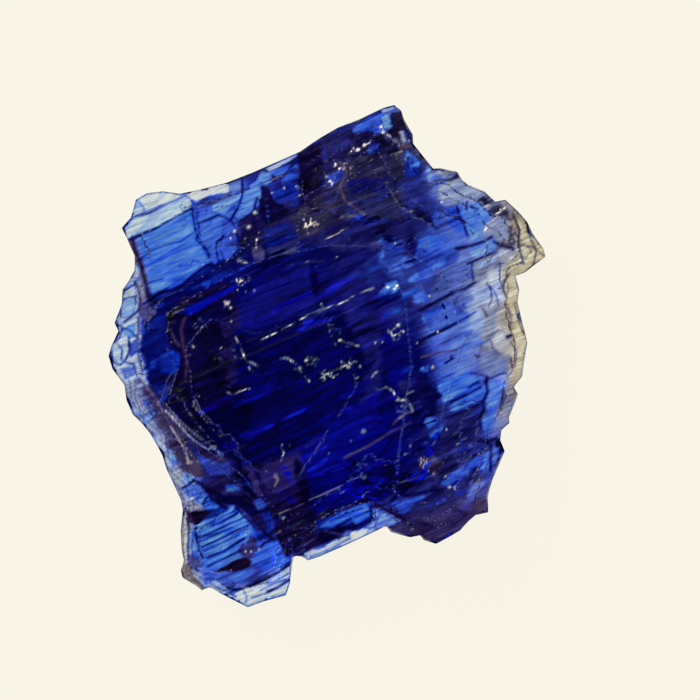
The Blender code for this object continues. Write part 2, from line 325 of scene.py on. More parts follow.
grid[rim_points] = onto_rim(grid[rim_points])
rim_gap[rim_points] = 0
plan = grid[used]
gap = rim_gap[used]
along, across = plan @ GRAIN, plan @ ACROSS
print("cells:", len(cells), "points:", len(used), "on the rim:", len(rim_points))

# %% [markdown]
# ## Fewer cells below
# The underside is seen only through the stone or from below, so blocks of three by three
# cells become one face there. A block next to the rim keeps its small cells, and a block next
# to those gets the extra corners that it needs, so the body stays closed.

# %% The cells of the underside
BLOCK = 3
whole = [BLOCK * (count // BLOCK) for count in kept.shape]
blocks = kept[:whole[0], :whole[1]].reshape(whole[0] // BLOCK, BLOCK, whole[1] // BLOCK, BLOCK)
blocks = blocks.all(axis=(1, 3))
covered = np.zeros_like(kept)
covered[:whole[0], :whole[1]] = blocks.repeat(BLOCK, 0).repeat(BLOCK, 1)
small_cells = corners[kept & ~covered]
step = np.arange(BLOCK)
border_along = np.concatenate([step, np.full(BLOCK, BLOCK), BLOCK - step, np.zeros(BLOCK, int)])
border_across = np.roll(border_along, BLOCK)
block_along, block_across = np.nonzero(blocks)
border = number[BLOCK * block_along[:, None] + border_along, BLOCK * block_across[:, None] + border_across]
needed = np.zeros(number.size, bool)
needed[small_cells.ravel()] = True
needed[rim_points] = True
wanted = needed[border]
wanted[:, ::BLOCK] = True
low_used = np.unique(np.concatenate([border[wanted], small_cells.ravel()]))
print("faces below:", len(small_cells) + len(border))

# %% Softening a field


def spread(values, times):
    """Soften a field: each point becomes the mean of itself and its neighbours, many times."""
    field = np.zeros((number.size, values.shape[1]))
    weight = np.zeros((number.size, 1))
    field[used], weight[used] = values, 1
    field, weight = field.reshape(*grid_shape, -1), weight.reshape(*grid_shape, 1)
    for _ in range(times):
        for axis in (0, 1):
            field = (np.roll(field, 1, axis) + field + np.roll(field, -1, axis)) / 3
            weight = (np.roll(weight, 1, axis) + weight + np.roll(weight, -1, axis)) / 3
    return (field / np.maximum(weight, 1e-9)).reshape(number.size, -1)[used]


# %% [markdown]
# ## Painting places
# A facet is a closed outline with its own depth of blue, and with some grey or brown where the
# stone is hazy or stained; in a few places, marked there, the grey, brown and dark are partly a
# painted warm reflection and painted shade. A depth of 0 looks nearly white over a bright floor
# and 1 nearly black. Facets are laid over each other like paper, the later one on top, and their
# edges are a little torn along the grain.

# %% Laying a facet or a line over what is there
FIRST_DEPTH, DEEPEST_LINE = 0.6, 0.92
FACET_LINE_WIDTH = 0.045
FINEST_LINE = 0.75
ink, grey, warm = np.full(len(plan), FIRST_DEPTH), np.zeros(len(plan)), np.zeros(len(plan))
edge_shake = hills(along * 1.6, across * 6.0, 40) + 0.5 * hills(along * 5.0, across * 14.0, 41)
broken = ramp(hills(along * 0.9, across * 1.2, 42) + 0.4 * hills(along * 3.0, across * 4.0, 43), -0.3, 0.6)
streaky = 0.35 + 0.65 * ramp(hills(along * 0.5, across * 7.0, 44) + 0.4 * edge_shake, -0.6, 0.2)


def near(points, margin):
    """Numbers of the grid points inside the box of some points, widened by a margin."""
    low, high = points.min(axis=0) - margin, points.max(axis=0) + margin
    return np.nonzero(((plan > low) & (plan < high)).all(axis=1))[0]


def oval_distance(margin, reach_along, reach_across, middle):
    """The grid points near a place, and their distances from it as shares of an oval's reach,
    which is given in the photograph's pixels along and across the grain."""
    point = place([middle])
    where = near(point, margin)
    offset = plan[where] - point[0]
    return where, np.hypot(offset @ GRAIN / reach_along, offset @ ACROSS / reach_across) / PIXEL


def cover(where, share, depth, haze, stain):
    """Mix the three fields towards new values by a share from 0 to 1."""
    for field, value in ((ink, depth), (grey, haze), (warm, stain)):
        field[where] += share * (value - field[where])


def facet(depth, haze, stain, outline, soft, tear, rim_line):
    """Lay a facet down: the share rises from 0 to 1 across its outline, over a width of twice
    the softness, and the outline is torn. A fine dark line, a bell curve of the same distance,
    follows it."""
    ring = place(outline)
    where = near(ring, 0.3)
    inside = edge_distance(plan[where], ring) + tear * edge_shake[where]
    cover(where, ramp(inside, -soft, soft), depth, haze, stain)
    line = rim_line * np.exp(-((inside / FACET_LINE_WIDTH) ** 2)) * broken[where]
    ink[where] += line * np.clip(DEEPEST_LINE - ink[where], 0, None)


def draw(depth, haze, stain, half_width, line):
    """Draw a line: the share is a bell curve of the distance to it, never so thin that it
    would fall between the grid's points."""
    points = place(line)
    where = near(points, 0.5)
    distance = line_distance(plan[where], points) + 0.012 * edge_shake[where]
    width = math.hypot(half_width, FINEST_LINE) * PIXEL
    cover(where, np.exp(-((distance / width) ** 2)), depth, haze, stain)


def streak(depth, half_width, start, end):
    """Lay down a lens along the grain: widest in the middle, with pointed ends, and
    broken up by finer lines."""
    points = place([start, end])
    where = near(points, 0.5)
    side = points[1] - points[0]
    share = np.clip((plan[where] - points[0]) @ side / (side @ side), 0, 1)
    width = half_width * PIXEL * np.sqrt(4 * share * (1 - share) + 0.02)
    inside = width - line_distance(plan[where], points) + 0.03 * edge_shake[where]
    laid = ramp(inside, -0.1, 0.1) * streaky[where]
    ink[where] += laid * (depth - ink[where])
    grey[where] *= 1 - laid
    warm[where] *= 1 - laid


# %% [markdown]
# ## The broad areas of colour
# First come broad areas with soft edges: depth of blue, grey haze, brown stain, outline. They
# follow the thickness of the stone: thin sheets at the left and right, thick in the middle. On
# the right the stone thins out slowly, so the areas are softened into each other there.

# %% Broad areas
SOFT_EDGE = 0.22, 0.16, 0.0  # softness and tear in mm, strength of the dark line
SOFTENED_RIGHT = 40
AREAS = [
    # the thin rim at the left and at the right, under everything that follows
    (0.20, 0.5, 0.05, [(95, 262), (140, 262), (152, 380), (204, 480), (204, 600), (170, 612),
                       (95, 400)]),
    (0.22, 0.75, 0.35, [(424, 150), (480, 158), (565, 225), (565, 420), (500, 440), (480, 400),
                        (480, 240), (430, 188)]),
    # the whole thick middle
    (0.84, 0.05, 0, [(150, 304), (213, 268), (262, 236), (345, 222), (404, 250), (420, 320),
                     (430, 420), (404, 500), (345, 503), (300, 545), (262, 500), (200, 470),
                     (160, 410), (150, 384)]),
    # left side
    (0.17, 0.15, 0, [(124, 226), (136, 200), (150, 193), (181, 194), (193, 203), (192, 212),
                     (160, 227), (133, 240)]),
    (0.385, 0, 0, [(134, 239), (146, 233), (160, 226), (180, 215), (193, 210), (203, 232),
                   (213, 262), (183, 286), (150, 301), (143, 272)]),
    (0.46, 0.12, 0, [(193, 205), (226, 190), (246, 190), (246, 245), (238, 262), (213, 264),
                     (205, 240)]),
    (0.36, 0.65, 0.35, [(128, 243), (134, 240), (144, 266), (150, 300), (137, 303), (136, 280)]),
    (0.12, 0.35, 0, [(122, 284), (137, 280), (138, 312), (137, 345), (134, 380), (118, 372),
                     (110, 356), (116, 335)]),
    # top edge
    (0.50, 0.2, 0, [(196, 190), (250, 172), (268, 172), (262, 200), (250, 218), (226, 196)]),
    (0.62, 0.1, 0.05, [(248, 176), (296, 154), (302, 200), (280, 225), (256, 214)]),
    (0.82, 0.25, 0.15, [(238, 212), (300, 203), (302, 240), (262, 264), (240, 262)]),
    (0.93, 0.1, 0.25, [(298, 153), (322, 138), (326, 170), (324, 205), (312, 214), (298, 208)]),
    (0.74, 0.40, 0.05, [(322, 138), (346, 126), (392, 116), (404, 150), (392, 200), (345, 216),
                        (326, 205)]),
    (0.68, 0.60, 0.15, [(380, 140), (412, 135), (424, 160), (430, 190), (400, 205), (380, 190)]),
    # partly painted reflection: this grey-brown veil is warm light reflected off a frosted surface
    (0.76, 0.8, 0.15, [(290, 218), (318, 200), (352, 210), (350, 238), (300, 244)]),
    (0.73, 0.55, 0, [(345, 196), (400, 190), (404, 226), (366, 222), (348, 212)]),
    (0.74, 0.25, 0.05, [(345, 222), (404, 226), (404, 250), (340, 262), (300, 262), (300, 244)]),
    # steps round the plateau
    (0.79, 0.0, 0.02, [(150, 304), (184, 290), (213, 268), (262, 240), (300, 244), (330, 250),
                        (262, 275), (213, 300), (183, 316), (150, 316)]),
    (0.73, 0.03, 0, [(142, 312), (172, 312), (172, 338), (186, 354), (180, 378), (169, 402),
                     (160, 402), (150, 384), (141, 350)]),
    # the plateau
    (0.93, 0.05, 0.15, [(176, 312), (240, 286), (244, 330), (240, 400), (200, 440), (172, 404),
                       (186, 362), (173, 338)]),
    (0.83, 0.03, 0, [(240, 286), (262, 262), (330, 250), (350, 270), (345, 310), (280, 330),
                     (244, 332)]),
    (0.94, 0, 0, [(240, 330), (345, 310), (370, 340), (360, 420), (300, 445), (262, 468),
                  (220, 446), (200, 420), (240, 395)]),
    (0.83, 0.08, 0, [(330, 256), (384, 250), (404, 300), (408, 350), (370, 370), (350, 330)]),
    (0.79, 0, 0, [(300, 445), (360, 400), (408, 370), (412, 400), (400, 470), (392, 498),
                  (345, 503), (316, 516), (304, 480)]),
    (0.84, 0.08, 0.25, [(240, 466), (262, 462), (300, 450), (308, 500), (300, 530), (262, 500)]),
    # right of the plateau
    (0.74, 0.06, 0, [(362, 262), (404, 250), (440, 262), (446, 290), (420, 320), (380, 330)]),
    (0.88, 0.0, 0, [(380, 330), (420, 320), (440, 380), (430, 420), (400, 440), (380, 420)]),
    (0.47, 0.55, 0, [(418, 262), (470, 248), (476, 300), (430, 315), (420, 300)]),
    (0.40, 0.35, 0, [(425, 320), (476, 300), (486, 350), (478, 376), (436, 384), (424, 350)]),
    (0.17, 0.75, 0.05, [(466, 272), (500, 262), (508, 300), (498, 350), (484, 352), (474, 310)]),
    (0.17, 0.45, 1.0, [(500, 262), (550, 256), (532, 345), (524, 385), (504, 376), (498, 340),
                       (508, 300)]),
    (0.38, 0.70, 0.1, [(478, 350), (512, 345), (510, 378), (480, 376)]),
    (0.40, 0.15, 0, [(486, 376), (506, 378), (500, 410), (494, 436), (478, 440), (482, 400)]),
    (0.33, 0.75, 0.25, [(502, 380), (520, 384), (520, 400), (512, 428), (500, 438), (494, 436),
                        (502, 404)]),
    (0.43, 0.05, 0, [(434, 384), (450, 378), (484, 376), (482, 402), (452, 414), (440, 402)]),
    (0.70, 0.3, 0, [(424, 400), (482, 400), (484, 440), (440, 450), (420, 430)]),
    # upper right
    (0.66, 0.25, 0, [(395, 170), (430, 166), (438, 210), (436, 240), (404, 250), (398, 220)]),
    (0.55, 0.1, 0, [(380, 236), (404, 250), (440, 240), (470, 262), (440, 280), (400, 285),
                    (378, 268)]),
    (0.27, 0.85, 0, [(432, 166), (460, 170), (486, 192), (470, 206), (444, 208), (434, 196)]),
    (0.42, 0.38, 0, [(436, 208), (490, 200), (492, 236), (480, 250), (446, 250), (430, 240)]),
    (0.38, 0.85, 0.05, [(478, 194), (512, 200), (516, 250), (490, 256), (480, 236)]),
    (0.35, 0.75, 0.2, [(468, 250), (520, 246), (516, 272), (470, 272)]),
    (0.17, 0.6, 1.0, [(502, 198), (536, 234), (550, 256), (520, 266), (512, 240)]),
    # lower left
    (0.36, 0.65, 0.15, [(118, 380), (140, 380), (160, 420), (186, 470), (192, 512), (176, 512),
                        (155, 460), (125, 415)]),
    (0.70, 0.40, 0.45, [(140, 380), (168, 408), (200, 440), (232, 460), (240, 470), (212, 474),
                        (200, 478), (182, 470), (160, 425)]),
    (0.74, 0.15, 0.05, [(188, 440), (232, 458), (234, 474), (206, 474)]),
    (0.79, 0.2, 0.2, [(196, 480), (240, 470), (272, 500), (278, 530), (256, 528), (236, 504),
                      (216, 500)]),
    (0.40, 0.05, 0, [(190, 527), (236, 504), (255, 525), (256, 545), (240, 560), (205, 572),
                     (190, 560)]),
    (0.50, 0.2, 0.05, [(205, 570), (256, 545), (276, 536), (291, 560), (262, 580), (236, 590),
                       (212, 584)]),
    (0.40, 0.95, 0.45, [(176, 510), (189, 510), (190, 560), (206, 594), (188, 590), (174, 570)]),
    (0.12, 0.35, 0.03, [(204, 584), (236, 590), (265, 578), (292, 562), (296, 600), (250, 614),
                        (220, 602)]),
    # foot
    (0.88, 0.15, 0.3, [(272, 500), (304, 490), (316, 520), (320, 548), (296, 556), (286, 552),
                       (278, 530)]),
    (0.47, 0.05, 0, [(316, 527), (340, 510), (366, 500), (380, 508), (372, 522), (330, 530)]),
    (0.30, 0.4, 0, [(370, 507), (404, 518), (386, 530), (370, 528)]),
    (0.97, 0.1, 0.1, [(318, 529), (368, 522), (352, 534), (320, 548)]),
    (0.17, 0.4, 0.05, [(300, 556), (346, 535), (370, 525), (388, 530), (345, 550), (309, 564)]),
    # lower right lobe
    (0.71, 0.25, 0.05, [(384, 500), (410, 470), (440, 440), (484, 440), (490, 470), (450, 500),
                       (420, 520), (404, 518)]),
    # partly painted shade and warm reflection: the dark brown along the lobe's lower edge lies over the
    # edge's own pale grey-brown
    (0.70, 0.3, 0.4, [(386, 524), (404, 516), (450, 500), (470, 490), (492, 500), (490, 516),
                      (436, 550), (398, 542)]),
    (0.58, 0.4, 0.25, [(455, 505), (470, 480), (494, 474), (492, 502), (470, 512)]),
    (0.50, 0.3, 0, [(480, 440), (505, 436), (506, 462), (488, 482), (478, 474)]),
]
for depth, haze, stain, outline in AREAS:
    facet(depth, haze, stain, outline, *SOFT_EDGE)
rightward = ramp((plan - place([(372, 300)])[0])[:, 0], 0, 2.0)
fields = np.column_stack([ink, grey, warm])
fields += rightward[:, None] * (spread(fields, SOFTENED_RIGHT) - fields)
ink, grey, warm = fields.T.copy()
print("broad areas:", len(AREAS))

# %% [markdown]
# ## The facets
# Then come the small flat faces that light up or go dark one by one. Each has a crisp outline
# with a fine dark line, where the stone steps down to its neighbour. At the right the stone is
# more worn, so the outlines are softer there. Rust has crept in under the rim at the right.

# %% The facets: depth, haze, stain, outline
CRISP_EDGE = 0.035, 0.05, 0.35  # softness and tear in mm, strength of the dark line
WORN_EDGE = 0.11, 0.15, 0.08
RUST = 0.9
UPPER_FACETS = [
    # upper left ledges
    (0.09, 0.2, 0, [(138, 200), (150, 193), (176, 192), (181, 197), (152, 210), (146, 212)]),
    (0.12, 0.45, 0.05, [(136, 216), (146, 212), (182, 197), (190, 199), (160, 208), (150, 213),
                        (134, 218)]),
    (0.10, 0.1, 0, [(124, 229), (134, 218), (150, 213), (146, 222), (133, 236), (129, 240)]),
    (0.17, 0.05, 0, [(133, 237), (147, 223), (181, 198), (190, 198), (193, 204), (192, 210),
                     (180, 215), (160, 225), (148, 232), (140, 235)]),
    (0.0, 0.1, 0.1, [(184, 192), (200, 187), (228, 181), (231, 191), (213, 196), (203, 199),
                     (196, 203), (190, 197)]),
    (0.38, 0.4, 0, [(228, 184), (242, 178), (243, 190), (230, 196)]),
    (0.55, 0.45, 0, [(204, 200), (222, 197), (232, 192), (232, 199), (205, 208), (195, 210)]),
    (0.30, 0.05, 0, [(213, 206), (222, 202), (242, 193), (241, 198), (232, 206), (226, 216),
                     (216, 212)]),
    (0.38, 0.05, 0, [(243, 190), (262, 177), (264, 190), (262, 205), (250, 215), (240, 222),
                     (234, 217), (240, 205)]),
    (0.33, 0, 0, [(152, 284), (184, 281), (165, 290), (152, 298)]),
    (0.42, 0.1, 0, [(199, 212), (210, 212), (224, 220), (222, 240), (208, 250), (201, 236)]),
    (0.50, 0.15, 0, [(224, 222), (238, 224), (241, 246), (228, 262), (221, 252)]),
    # scales at the left edge
    (0.02, 0.1, 0, [(124, 290), (135, 281), (136, 290), (134, 296), (124, 298)]),
    (0.22, 0.15, 0, [(123, 300), (135, 297), (137, 305), (132, 320), (121, 318)]),
    (0.10, 0.5, 0, [(115, 323), (120, 320), (123, 327), (119, 331)]),
    (0.31, 0, 0, [(122, 329), (136, 322), (136, 336), (130, 340), (125, 334)]),
    (0.11, 0.25, 0, [(116, 342), (122, 338), (127, 336), (131, 345), (127, 358), (120, 364),
                     (113, 362), (112, 352)]),
    (0.50, 0.2, 0, [(128, 345), (137, 338), (138, 352), (131, 358)]),
    (0.10, 0.5, 0, [(111, 364), (117, 368), (119, 370), (114, 372)]),
    (0.42, 0.4, 0, [(120, 368), (132, 366), (136, 374), (126, 380)]),
    (0.14, 0.5, 0, [(136, 262), (141, 270), (139, 280), (134, 276)]),
    # hollow left of the top lobe
    (0.06, 0.2, 0, [(265, 169), (296, 154), (299, 157), (288, 163), (270, 171)]),
    (0.33, 0.05, 0, [(262, 173), (270, 174), (274, 181), (266, 186), (258, 180)]),
    (0.36, 0.1, 0, [(272, 172), (290, 165), (287, 175), (278, 181)]),
    (0.35, 0.05, 0, [(248, 184), (262, 181), (264, 188), (250, 195)]),
    (0.58, 0.1, 0, [(284, 172), (299, 162), (301, 178), (288, 188)]),
    (0.62, 0.05, 0, [(272, 190), (298, 184), (300, 194), (276, 203)]),
    (0.93, 0.1, 0.1, [(262, 187), (269, 189), (275, 202), (284, 206), (292, 213), (280, 221),
                      (266, 226), (259, 214)]),
    (0.70, 0.02, 0, [(262, 230), (292, 222), (298, 240), (268, 250)]),
    (0.72, 0.5, 0, [(268, 250), (298, 241), (298, 255), (270, 262)]),
    (0.62, 0.5, 0.4, [(254, 250), (262, 248), (267, 256), (265, 264), (256, 266)]),
    # top lobe
    (0.72, 0.2, 0.1, [(328, 142), (350, 130), (352, 150), (344, 166), (330, 170)]),
    (0.55, 0.05, 0, [(328, 178), (345, 170), (346, 180), (330, 190)]),
    (0.44, 0.1, 0, [(352, 128), (385, 112), (392, 125), (386, 136), (370, 134), (352, 133)]),
    (0.28, 0, 0, [(380, 118), (388, 114), (391, 128), (383, 132)]),
    (0.52, 0.05, 0, [(368, 142), (380, 146), (378, 158), (366, 156)]),
    (0.60, 0.05, 0, [(404, 158), (420, 160), (420, 176), (406, 178)]),
    (0.55, 0.45, 0, [(380, 106), (396, 104), (403, 113), (403, 130), (396, 118), (382, 113)]),
    (0.10, 0.3, 0, [(381, 110), (392, 107), (394, 109), (383, 114)]),
    (0.76, 0.70, 0.1, [(345, 165), (400, 152), (402, 178), (398, 184), (350, 184)]),
    (0.76, 0.10, 0, [(346, 185), (396, 180), (398, 196), (352, 200)]),
    # painted shade: the dark grey of this facet at the upper rim is shade
    (0.86, 0.80, 0.1, [(392, 114), (403, 113), (404, 132), (400, 143), (386, 134), (393, 128)]),
    (0.84, 0.60, 0.1, [(380, 141), (398, 146), (396, 156), (378, 158)]),
    (0.60, 0.50, 0.7, [(398, 145), (413, 142), (414, 149), (400, 151)]),
    # partly painted reflection: the grey here is warm light reflected off a frosted surface
    (0.74, 0.60, 0, [(352, 200), (400, 196), (402, 224), (366, 221)]),
    (0.16, 0.3, 0, [(400, 133), (403, 133), (406, 142), (403, 143)]),
    (0.20, 0.3, 0, [(407, 135), (410, 136), (411, 142), (408, 142)]),
    (0.36, 0.05, 0, [(404, 149), (409, 151), (413, 157), (419, 159), (420, 168), (414, 167),
                     (411, 171), (408, 163), (404, 160)]),
    (0.52, 0.2, 0, [(409, 156), (414, 160), (412, 164), (408, 160)]),
]
RIGHT_FACETS = [
    # upper right
    (0.16, 0.2, 0, [(426, 165), (432, 166), (433, 171), (427, 172)]),
    (0.32, 0.35, 0, [(425, 173), (433, 172), (435, 180), (428, 185)]),
    (0.30, 0.85, 0.1, [(434, 168), (457, 171), (450, 180), (438, 180)]),
    (0.75, 0.5, 0, [(446, 180), (457, 173), (459, 178), (450, 181)]),
    (0.36, 0.25, 0, [(433, 175), (447, 179), (445, 184), (434, 190)]),
    (0.25, 0.65, 0.02, [(440, 186), (458, 180), (475, 188), (484, 192), (474, 198), (462, 207),
                       (443, 208), (437, 196)]),
    (0.45, 0.05, 0, [(444, 210), (456, 208), (460, 222), (466, 238), (455, 231), (446, 222)]),
    (0.35, 0.08, 0, [(457, 208), (470, 202), (478, 200), (490, 213), (492, 222), (482, 232),
                     (478, 243), (466, 238), (460, 222)]),
    (0.88, 0.8, 0, [(475, 199), (482, 196), (492, 200), (486, 205), (478, 204)]),
    (0.72, 0.85, 0, [(487, 206), (499, 202), (509, 208), (512, 222), (504, 217), (492, 214)]),
    (0.36, 0.75, 0, [(484, 226), (496, 216), (508, 222), (508, 238), (494, 243), (484, 238)]),
    (0.64, 0.9, 0.1, [(508, 216), (514, 222), (515, 240), (512, 250), (494, 250), (492, 245), (506, 243)]),
    (0.34, 0.8, 0.45, [(498, 202), (506, 199), (519, 211), (529, 222), (536, 234), (529, 236),
                       (522, 226), (512, 214)]),
    (0.08, 0.45, 0.8, [(517, 224), (522, 224), (530, 236), (529, 247), (521, 246), (516, 236)]),
    (0.36, 0.9, 0.4, [(511, 214), (518, 222), (517, 232), (517, 244), (513, 238), (511, 224)]),
    (0.15, 0.5, 1.0, [(520, 246), (531, 240), (546, 257), (532, 266), (518, 270), (516, 262)]),
    (0.28, 0.85, 0.3, [(497, 252), (518, 250), (518, 268), (504, 266), (496, 258)]),
    (0.33, 0.15, 0, [(464, 250), (489, 241), (497, 250), (480, 258), (472, 262)]),
    (0.20, 0.35, 0, [(474, 268), (496, 256), (494, 262), (480, 268)]),
    (0.40, 0.85, 0, [(474, 272), (498, 262), (504, 267), (490, 270), (486, 277), (478, 283)]),
    (0.50, 0.5, 0, [(448, 264), (466, 262), (472, 276), (462, 284), (448, 280)]),
    (0.40, 0.45, 0, [(455, 251), (465, 250), (468, 262), (456, 265)]),
    (0.42, 0.1, 0, [(433, 215), (441, 217), (443, 222), (433, 228), (428, 222)]),
    (0.42, 0.05, 0, [(415, 243), (430, 240), (446, 238), (442, 248), (425, 253), (418, 250)]),
    (0.64, 0.05, 0, [(380, 240), (392, 238), (404, 250), (402, 264), (386, 266)]),
    (0.72, 0.1, 0.05, [(401, 229), (414, 228), (415, 258), (405, 262)]),
    # right field
    (0.48, 0.1, 0, [(408, 283), (412, 276), (430, 270), (428, 278), (411, 285)]),
    (0.38, 0.05, 0, [(433, 268), (440, 262), (446, 262), (445, 268), (437, 270)]),
    (0.52, 0.50, 0, [(432, 272), (450, 266), (448, 288), (434, 292)]),
    (0.50, 0.1, 0, [(410, 293), (427, 291), (428, 301), (412, 303)]),
    (0.52, 0.05, 0, [(420, 314), (450, 301), (452, 306), (422, 322)]),
    (0.42, 0.25, 0, [(430, 320), (462, 304), (476, 302), (478, 316), (440, 328)]),
    (0.36, 0.3, 0, [(446, 334), (480, 318), (482, 345), (450, 350)]),
    (0.26, 0.45, 0, [(466, 304), (484, 300), (482, 332), (468, 334)]),
    (0.22, 0.55, 0, [(470, 290), (488, 282), (490, 302), (474, 306)]),
    (0.13, 0.45, 0, [(487, 272), (501, 270), (504, 278), (502, 302), (490, 300), (486, 284)]),
    (0.16, 0.4, 0.65, [(502, 290), (503, 283), (508, 276), (514, 276), (518, 285), (518, 295),
                       (515, 302), (506, 302)]),
    (0.32, 0.8, 0.05, [(480, 306), (498, 306), (496, 336), (484, 346)]),
    (0.26, 0.6, 0.65, [(496, 305), (512, 303), (516, 325), (512, 336), (498, 332)]),
    (0.42, 0.85, 0.15, [(480, 346), (500, 352), (508, 354), (500, 358), (484, 358)]),
    (0.14, 0.45, 1.0, [(508, 303), (520, 303), (527, 343), (526, 360), (516, 348), (514, 326)]),
    (0.24, 0.7, 0.35, [(490, 340), (492, 335), (500, 332), (508, 331), (514, 340), (510, 350),
                       (503, 354), (497, 353), (492, 346)]),
    (0.13, 0.5, 0.35, [(491, 340), (494, 335), (504, 332), (502, 338), (496, 344)]),
    (0.42, 0.5, 0.3, [(480, 352), (495, 351), (496, 362), (482, 363)]),
    (0.14, 0.25, 0.8, [(511, 350), (526, 350), (525, 366), (519, 378), (511, 370)]),
    (0.38, 0.65, 0, [(478, 360), (508, 357), (506, 371), (490, 376), (476, 371)]),
    (0.36, 0, 0, [(437, 392), (436, 383), (450, 378), (455, 373), (470, 374), (480, 380),
                  (470, 386), (455, 395), (449, 400), (440, 398)]),
    (0.42, 0.05, 0, [(450, 405), (460, 400), (475, 392), (483, 388), (482, 396), (465, 408),
                     (452, 412)]),
    (0.35, 0.15, 0, [(488, 383), (495, 378), (504, 380), (505, 388), (500, 398), (498, 410),
                     (484, 410), (486, 400), (487, 390)]),
    (0.40, 0.05, 0, [(482, 410), (496, 411), (493, 424), (487, 432), (480, 425)]),
    (0.36, 0.5, 0.35, [(497, 411), (502, 402), (500, 420), (497, 431), (493, 436)]),
    (0.36, 0.85, 0.15, [(503, 390), (506, 386), (515, 386), (519, 395), (514, 406), (509, 414),
                        (502, 424), (501, 408)]),
    (0.45, 0, 0, [(425, 418), (436, 417), (439, 420), (434, 425), (427, 429), (425, 424)]),
    (0.36, 0, 0, [(430, 434), (434, 430), (440, 427), (437, 431), (432, 435)]),
    (0.87, 0.1, 0, [(400, 380), (425, 376), (438, 396), (434, 412), (404, 408)]),
    (0.50, 0, 0, [(421, 366), (428, 364), (428, 372), (421, 373)]),
    # lower right lobe
    (0.52, 0.1, 0, [(392, 502), (402, 498), (420, 492), (425, 495), (412, 503), (408, 508),
                    (402, 514), (396, 508)]),
    (0.45, 0, 0, [(440, 480), (446, 476), (458, 473), (462, 478), (452, 484), (443, 486)]),
    (0.50, 0.1, 0, [(452, 472), (462, 466), (470, 466), (466, 474), (456, 476)]),
    (0.48, 0.05, 0, [(468, 462), (478, 457), (480, 462), (472, 467)]),
    (0.60, 0.1, 0, [(458, 446), (469, 443), (471, 450), (460, 453)]),
    (0.38, 0.05, 0, [(482, 463), (484, 455), (488, 452), (490, 460), (488, 468), (481, 474)]),
    (0.44, 0.3, 0, [(493, 442), (497, 441), (498, 450), (497, 460), (493, 465), (492, 455)]),
    (0.96, 0.3, 0, [(497, 440), (502, 440), (504, 448), (499, 461), (496, 466), (498, 450)]),
    (0.45, 0.4, 0.1, [(470, 482), (480, 476), (482, 484), (474, 496), (466, 498)]),
    (0.64, 0.4, 0.6, [(474, 507), (480, 500), (488, 500), (489, 512), (476, 515)]),
    (0.58, 0.5, 0.35, [(424, 460), (433, 455), (441, 459), (441, 467), (434, 474), (425, 472)]),
]
